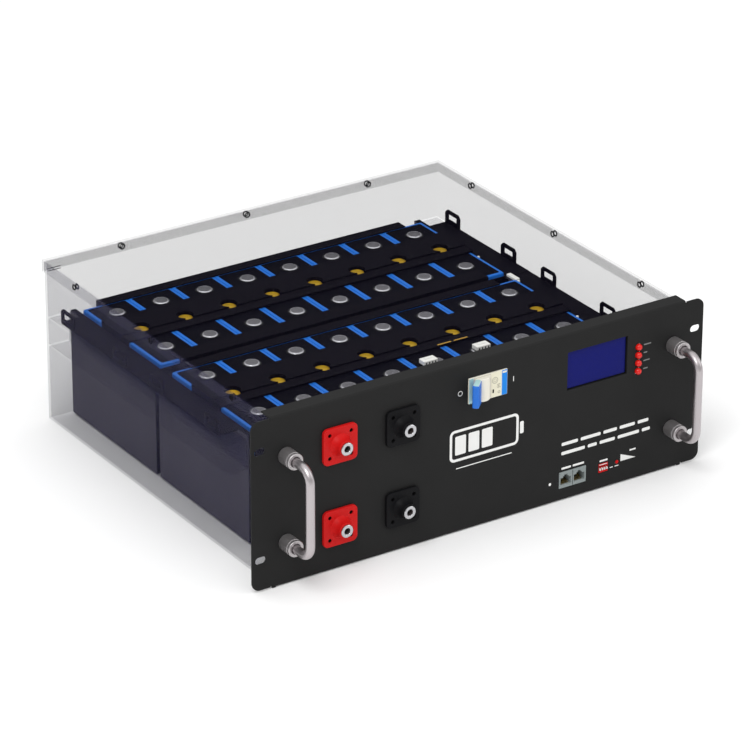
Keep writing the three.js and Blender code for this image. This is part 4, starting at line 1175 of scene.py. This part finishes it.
class PACK_OT_holders(bpy.types.Operator):
    """Black end plates with slotted tabs, and the insulating strips over the cells"""

    bl_idname = "battery_pack.holders"
    bl_label = "End plates and strips"
    vent_line, step, lower_sheet, lift = 20, 7, 2, 0.3
    flap, flap_inset, flap_drop = 0.8, 0.4, 1
    shelf_drop = 12

    def vent_strip(self, node, centres, s):
        """Two sheets along a step, and folded ends; a window's circle bites into both sheets."""
        low, high = box(node)
        flap_foot, low[2] = low[2], cell_top(s) + self.lift
        middle_y, radius = low[1] + self.vent_line, s["vent"] + 1
        line = middle_y - self.step
        bite = math.degrees(math.asin(self.step / radius))
        over = [arc((x, middle_y), radius, 180 + bite, -bite, 28) for x in centres]
        under = [arc((x, middle_y), radius, -bite, -180 + bite, 6) for x in reversed(centres)]
        (left, front), (right, rear) = low[:2], high[:2]
        raised = np.concatenate([[(left, rear), (left, line)], *over, [(right, line), (right, rear)]])
        flat = np.concatenate([[(left, front), (right, front), (right, line)], *under, [(left, line)]])
        front, rear = front + self.flap_inset, rear - self.flap_inset
        flaps = [
            slab((x, front, flap_foot), (x + self.flap, rear, high[2] - self.flap_drop), 0.2, 0.1)
            for x in (left, right - self.flap)
        ]
        return [
            cut_sheet([raised], low[2], high[2] - low[2], 0.3, "z"),
            cut_sheet([flat], low[2], self.lower_sheet, 0.3, "z"),
            *flaps,
        ]

    def execute(self, context):
        s = sizes()
        board, shelf = wear("insulation"), cell_top(s) - self.shelf_drop

        def plate_light_and_shade(middle, normal):
            """Painted light and shade on one black moulding: the outside of the plate, below its shelf, takes
            a lighter grey, and the top faces and the plate above stay darker.
            """
            return (np.abs(normal[:, 0]) > 0.9) & (middle[:, 2] < shelf)

        for block in BLOCKS:
            for side in SIDES:
                # Outer faces below the shelf lighter, the rest darker: painted light and shade.
                softened(
                    f"end_plate_{block}_{side}", ["holder", "painted_lighter_side"], "end_plate_plastic", 0.5,
                    choose=plate_light_and_shade,
                )
            for kind in ("front", "rear"):
                softened(f"{kind}_strip_{block}", ["insulation"], "insulation_plastic", 0.2)
            centres = [float(np.mean([c[0] for c in box(f"cell_{block}_{i}")])) for i in CELLS]
            node = f"vent_strip_{block}"
            parts = [(sheet, board) for sheet in self.vent_strip(node, centres, s)]
            add_piece(node + "_sheet", parts, "insulation_plastic", nodes=[node])
        return {"FINISHED"}


class PACK_OT_manager(bpy.types.Operator):
    """Battery manager with its parts and heat sink, the sense plugs and the thin brass contacts"""

    bl_idname = "battery_pack.manager"
    bl_label = "Manager and sense plugs"
    switches, switch_pitch, switch_width = 12, 18.5, 10
    capacitors, capacitor_pitch = 4, 13
    chips = ((30, 14), (96, 20), (160, 12))
    header_places = (150, 190)
    contact_places, contact_length = (42, 60), 15
    bead_offsets = (-17, 50, -112)

    def execute(self, context):
        self.manager_parts()
        self.sense_plugs()
        self.contacts_and_clip()
        return {"FINISHED"}

    def manager_parts(self):
        """Board and heat sink, with a row of power switches, chips, capacitors and cable headers."""
        low, high = box("manager_board")
        softened("manager_board", ["board"], "circuit_board", 0.15)
        softened("manager_heat_sink", ["sink"], "heat_sink_metal", 0.25)
        front = low[1]
        parts = []
        for i in range(self.switches):
            start = low[0] + 16 + i * self.switch_pitch
            end = start + self.switch_width
            body = slab((start, front - 4.4, high[2] - 24), (end, front, high[2] - 9), 0.5, 0.3, "y")
            tab = slab((start, front - 1.4, high[2] - 9), (end, front, high[2] - 5), 0.4, 0.2, "y")
            parts += [(body, wear("black")), (tab, wear("zinc"))]
        for x, width in self.chips:
            start, end = low[0] + x, low[0] + x + width
            chip = slab((start, front - 2, low[2] + 24), (end, front, low[2] + 38), 0.4, 0.2, "y")
            parts.append((chip, wear("black")))
        for i in range(self.capacitors):
            spot = (low[0] + 60 + i * self.capacitor_pitch, 0, low[2] + 14)
            can = [(4.6, front), (4.6, front - 9), (4.1, front - 9.6), (0.4, front - 9.6)]
            parts.append((lathe(can, spot, "y", 32), wear("terminal")))
        for place_along in self.header_places:
            x = low[0] + place_along
            header = slab((x, front - 8, low[2] + 5), (x + 24, front, low[2] + 13), 0.6, 0.3, "y")
            parts.append((header, wear("white")))
        add_piece("manager_parts", parts, "black_plastic")

    def sense_plugs(self):
        """White plug shells, each with four ways in its front, drawn as black bars of painted shade, and a
        latch on top.
        """
        for i in (1, 2):
            node = f"sense_plug_{i}"
            low, high = box(node)
            shell = slab(low, high, 0.8, 0.35)
            parts = [(shell, wear("white"))]
            # Each way is a black bar on the shell's front: painted shade of its opening.
            for way in range(4):
                x = low[0] + 2.6 + way * (high[0] - low[0] - 5.2) / 3
                slot = slab(
                    (x - 0.7, low[1] - 0.05, low[2] + 1), (x + 0.7, low[1] + 1, high[2] - 1.2),
                    0.2, 0.04, "y",
                )
                parts.append((slot, wear("black")))
            latch = slab(
                (low[0] + 4, high[1] - 5, high[2] - 0.5), (high[0] - 4, high[1] - 1.5, high[2] + 0.6),
                0.5, 0.2,
            )
            parts.append((latch, wear("white")))
            add_piece(node + "_shell", parts, "white_plastic", nodes=[node])

    def contacts_and_clip(self):
        """Two brass strips on the front block, and a white clip and beads on the right end's shelf."""
        strip_front, z = box("vent_strip_1")[0][1], cell_top(sizes()) + 2.3
        contacts = [
            slab((x, strip_front + 0.5, z), (x + self.contact_length, strip_front + 2.3, z + 0.5), 0.2, 0.1)
            for x in self.contact_places
        ]
        add_piece("sense_contacts", [(c, wear("gold")) for c in contacts], "terminal_plating")
        ledge, seam = box("end_plate_2_right")[0][:2] + [0, 0.15]
        shelf = box("end_plate_1_right")[1][1]
        top = cell_top(sizes()) - 3.2
        clip = slab((ledge + 0.4, shelf - 14, top), (ledge + 5.4, shelf + 1.5, top + 2.4), 0.8, 0.4)
        beads = [
            lathe([(1.3, top), (1.3, top + 1.6), (0.9, top + 2)], (ledge + 2, y, 0), "z", 16)
            for y in [seam + offset for offset in self.bead_offsets]
        ]
        add_piece("seam_clip", [(shape, wear("white")) for shape in (clip, *beads)], "white_plastic")


class PACK_OT_stage(bpy.types.Operator):
    """Pale floor, soft studio light and the camera"""

    bl_idname = "battery_pack.stage"
    bl_label = "Stage"
    floor_reach, floor_drop = 9.0, 0.0005

    def lamp(self, name, place, aim, size, power):
        """Round area light at a place, turned to its aim."""
        light = bpy.data.lights.new(name, "AREA")
        light.shape, light.size, light.energy = "DISK", size, power
        holder = bpy.data.objects.new(name, light)
        holder.location = place
        holder.rotation_euler = (Vector(aim) - Vector(place)).to_track_quat("-Z", "Y").to_euler()
        bpy.context.scene.collection.objects.link(holder)

    def camera(self, view, front):
        """Looks along the view's angles; its place is set back from the aimed point and shifted across."""
        around, above = view.azimuth, view.elevation
        level = math.cos(above)
        back = Vector((math.sin(around) * level, -math.cos(around) * level, math.sin(above)))
        across = (-back).cross(Vector((0, 0, 1))).normalized()
        upward = across.cross(-back)
        right = across * math.cos(view.roll) + upward * math.sin(view.roll)
        up = -across * math.sin(view.roll) + upward * math.cos(view.roll)
        aim = Vector((0, front * MM, view.aim_height))
        place = aim + right * view.shift_right + up * view.shift_up + back * view.distance
        data = bpy.data.cameras.new("camera")
        data.lens, data.sensor_width = view.lens, 36
        holder = bpy.data.objects.new("camera", data)
        holder.matrix_world = Matrix((right, up, back)).transposed().to_4x4()
        holder.location = place
        bpy.context.scene.collection.objects.link(holder)
        bpy.context.scene.camera = holder

    def execute(self, context):
        scene = context.scene
        scene.view_settings.view_transform = "Standard"
        self.camera(scene.pack_view, box("front_panel")[0][1])
        world = bpy.data.worlds.new("studio")
        world.use_nodes = True
        tree = world.node_tree
        direction = add(tree, "ShaderNodeTexCoord").outputs["Generated"]
        height = add(tree, "ShaderNodeSeparateXYZ", feed={"Vector": direction}).outputs["Z"]
        add(
            tree, "ShaderNodeMapRange", into=tree.nodes["Background"].inputs["Strength"],
            interpolation_type="SMOOTHSTEP", feed={"Value": height},
            set={"From Min": 0.25, "From Max": 0.85, "To Min": 0.5, "To Max": 1.1},
        )
        tree.nodes["Background"].inputs["Color"].default_value = (1, 1, 1, 1)
        scene.world = world
        self.lamp("key", (-1.6, -1.2, 2.6), (0, 0, 0.1), 1.6, 40)
        self.lamp("fill", (2.4, -1.6, 1.6), (0, 0, 0.1), 2.0, 14)
        mesh = bpy.data.meshes.new("floor")
        square, reach = [(-1, -1), (1, -1), (1, 1), (-1, 1)], self.floor_reach
        mesh.from_pydata([(x * reach, y * reach, -self.floor_drop) for x, y in square], [], [(0, 1, 2, 3)])
        floor = bpy.data.objects.new("floor", mesh)
        scene.collection.objects.link(floor)
        mesh.materials.append(
            grained("Painted studio floor", colour("floor"), 0.8, 2, 0.01, fade=0.005, specular=0.1)
        )
        return {"FINISHED"}


STEPS = (
    PACK_OT_stage, PACK_OT_case, PACK_OT_panel, PACK_OT_print, PACK_OT_handles, PACK_OT_terminals,
    PACK_OT_breaker, PACK_OT_display, PACK_OT_sockets, PACK_OT_cells, PACK_OT_holders, PACK_OT_manager,
)


class PACK_PT_panel(bpy.types.Panel):
    """Lists the steps that build the pack, and the sizes and colours that they use"""

    bl_idname = "PACK_PT_panel"
    bl_label = "Battery Pack"
    bl_space_type = "VIEW_3D"
    bl_region_type = "UI"
    bl_category = "Battery Pack"

    def draw(self, context):
        for step in STEPS:
            self.layout.operator(step.bl_idname)
        for group in (context.scene.pack_sizes, context.scene.pack_colours, context.scene.pack_view):
            column = self.layout.column()
            for name in type(group).__annotations__:
                column.prop(group, name)


GROUPS = (("pack_sizes", PackSizes), ("pack_colours", PackColours), ("pack_view", PackView))


def register():
    for _, group in GROUPS:
        bpy.utils.register_class(group)
    for step in (*STEPS, PACK_PT_panel):
        bpy.utils.register_class(step)
    for name, group in GROUPS:
        setattr(bpy.types.Scene, name, bpy.props.PointerProperty(type=group))


def unregister():
    for name, _ in GROUPS:
        delattr(bpy.types.Scene, name)
    for step in (*STEPS, PACK_PT_panel):
        bpy.utils.unregister_class(step)
    for _, group in GROUPS:
        bpy.utils.unregister_class(group)


def main():
    """Builds every piece in order."""
    register()
    for step in STEPS:
        group, name = step.bl_idname.split(".")
        getattr(getattr(bpy.ops, group), name)()


if __name__ == "__main__":
    main()
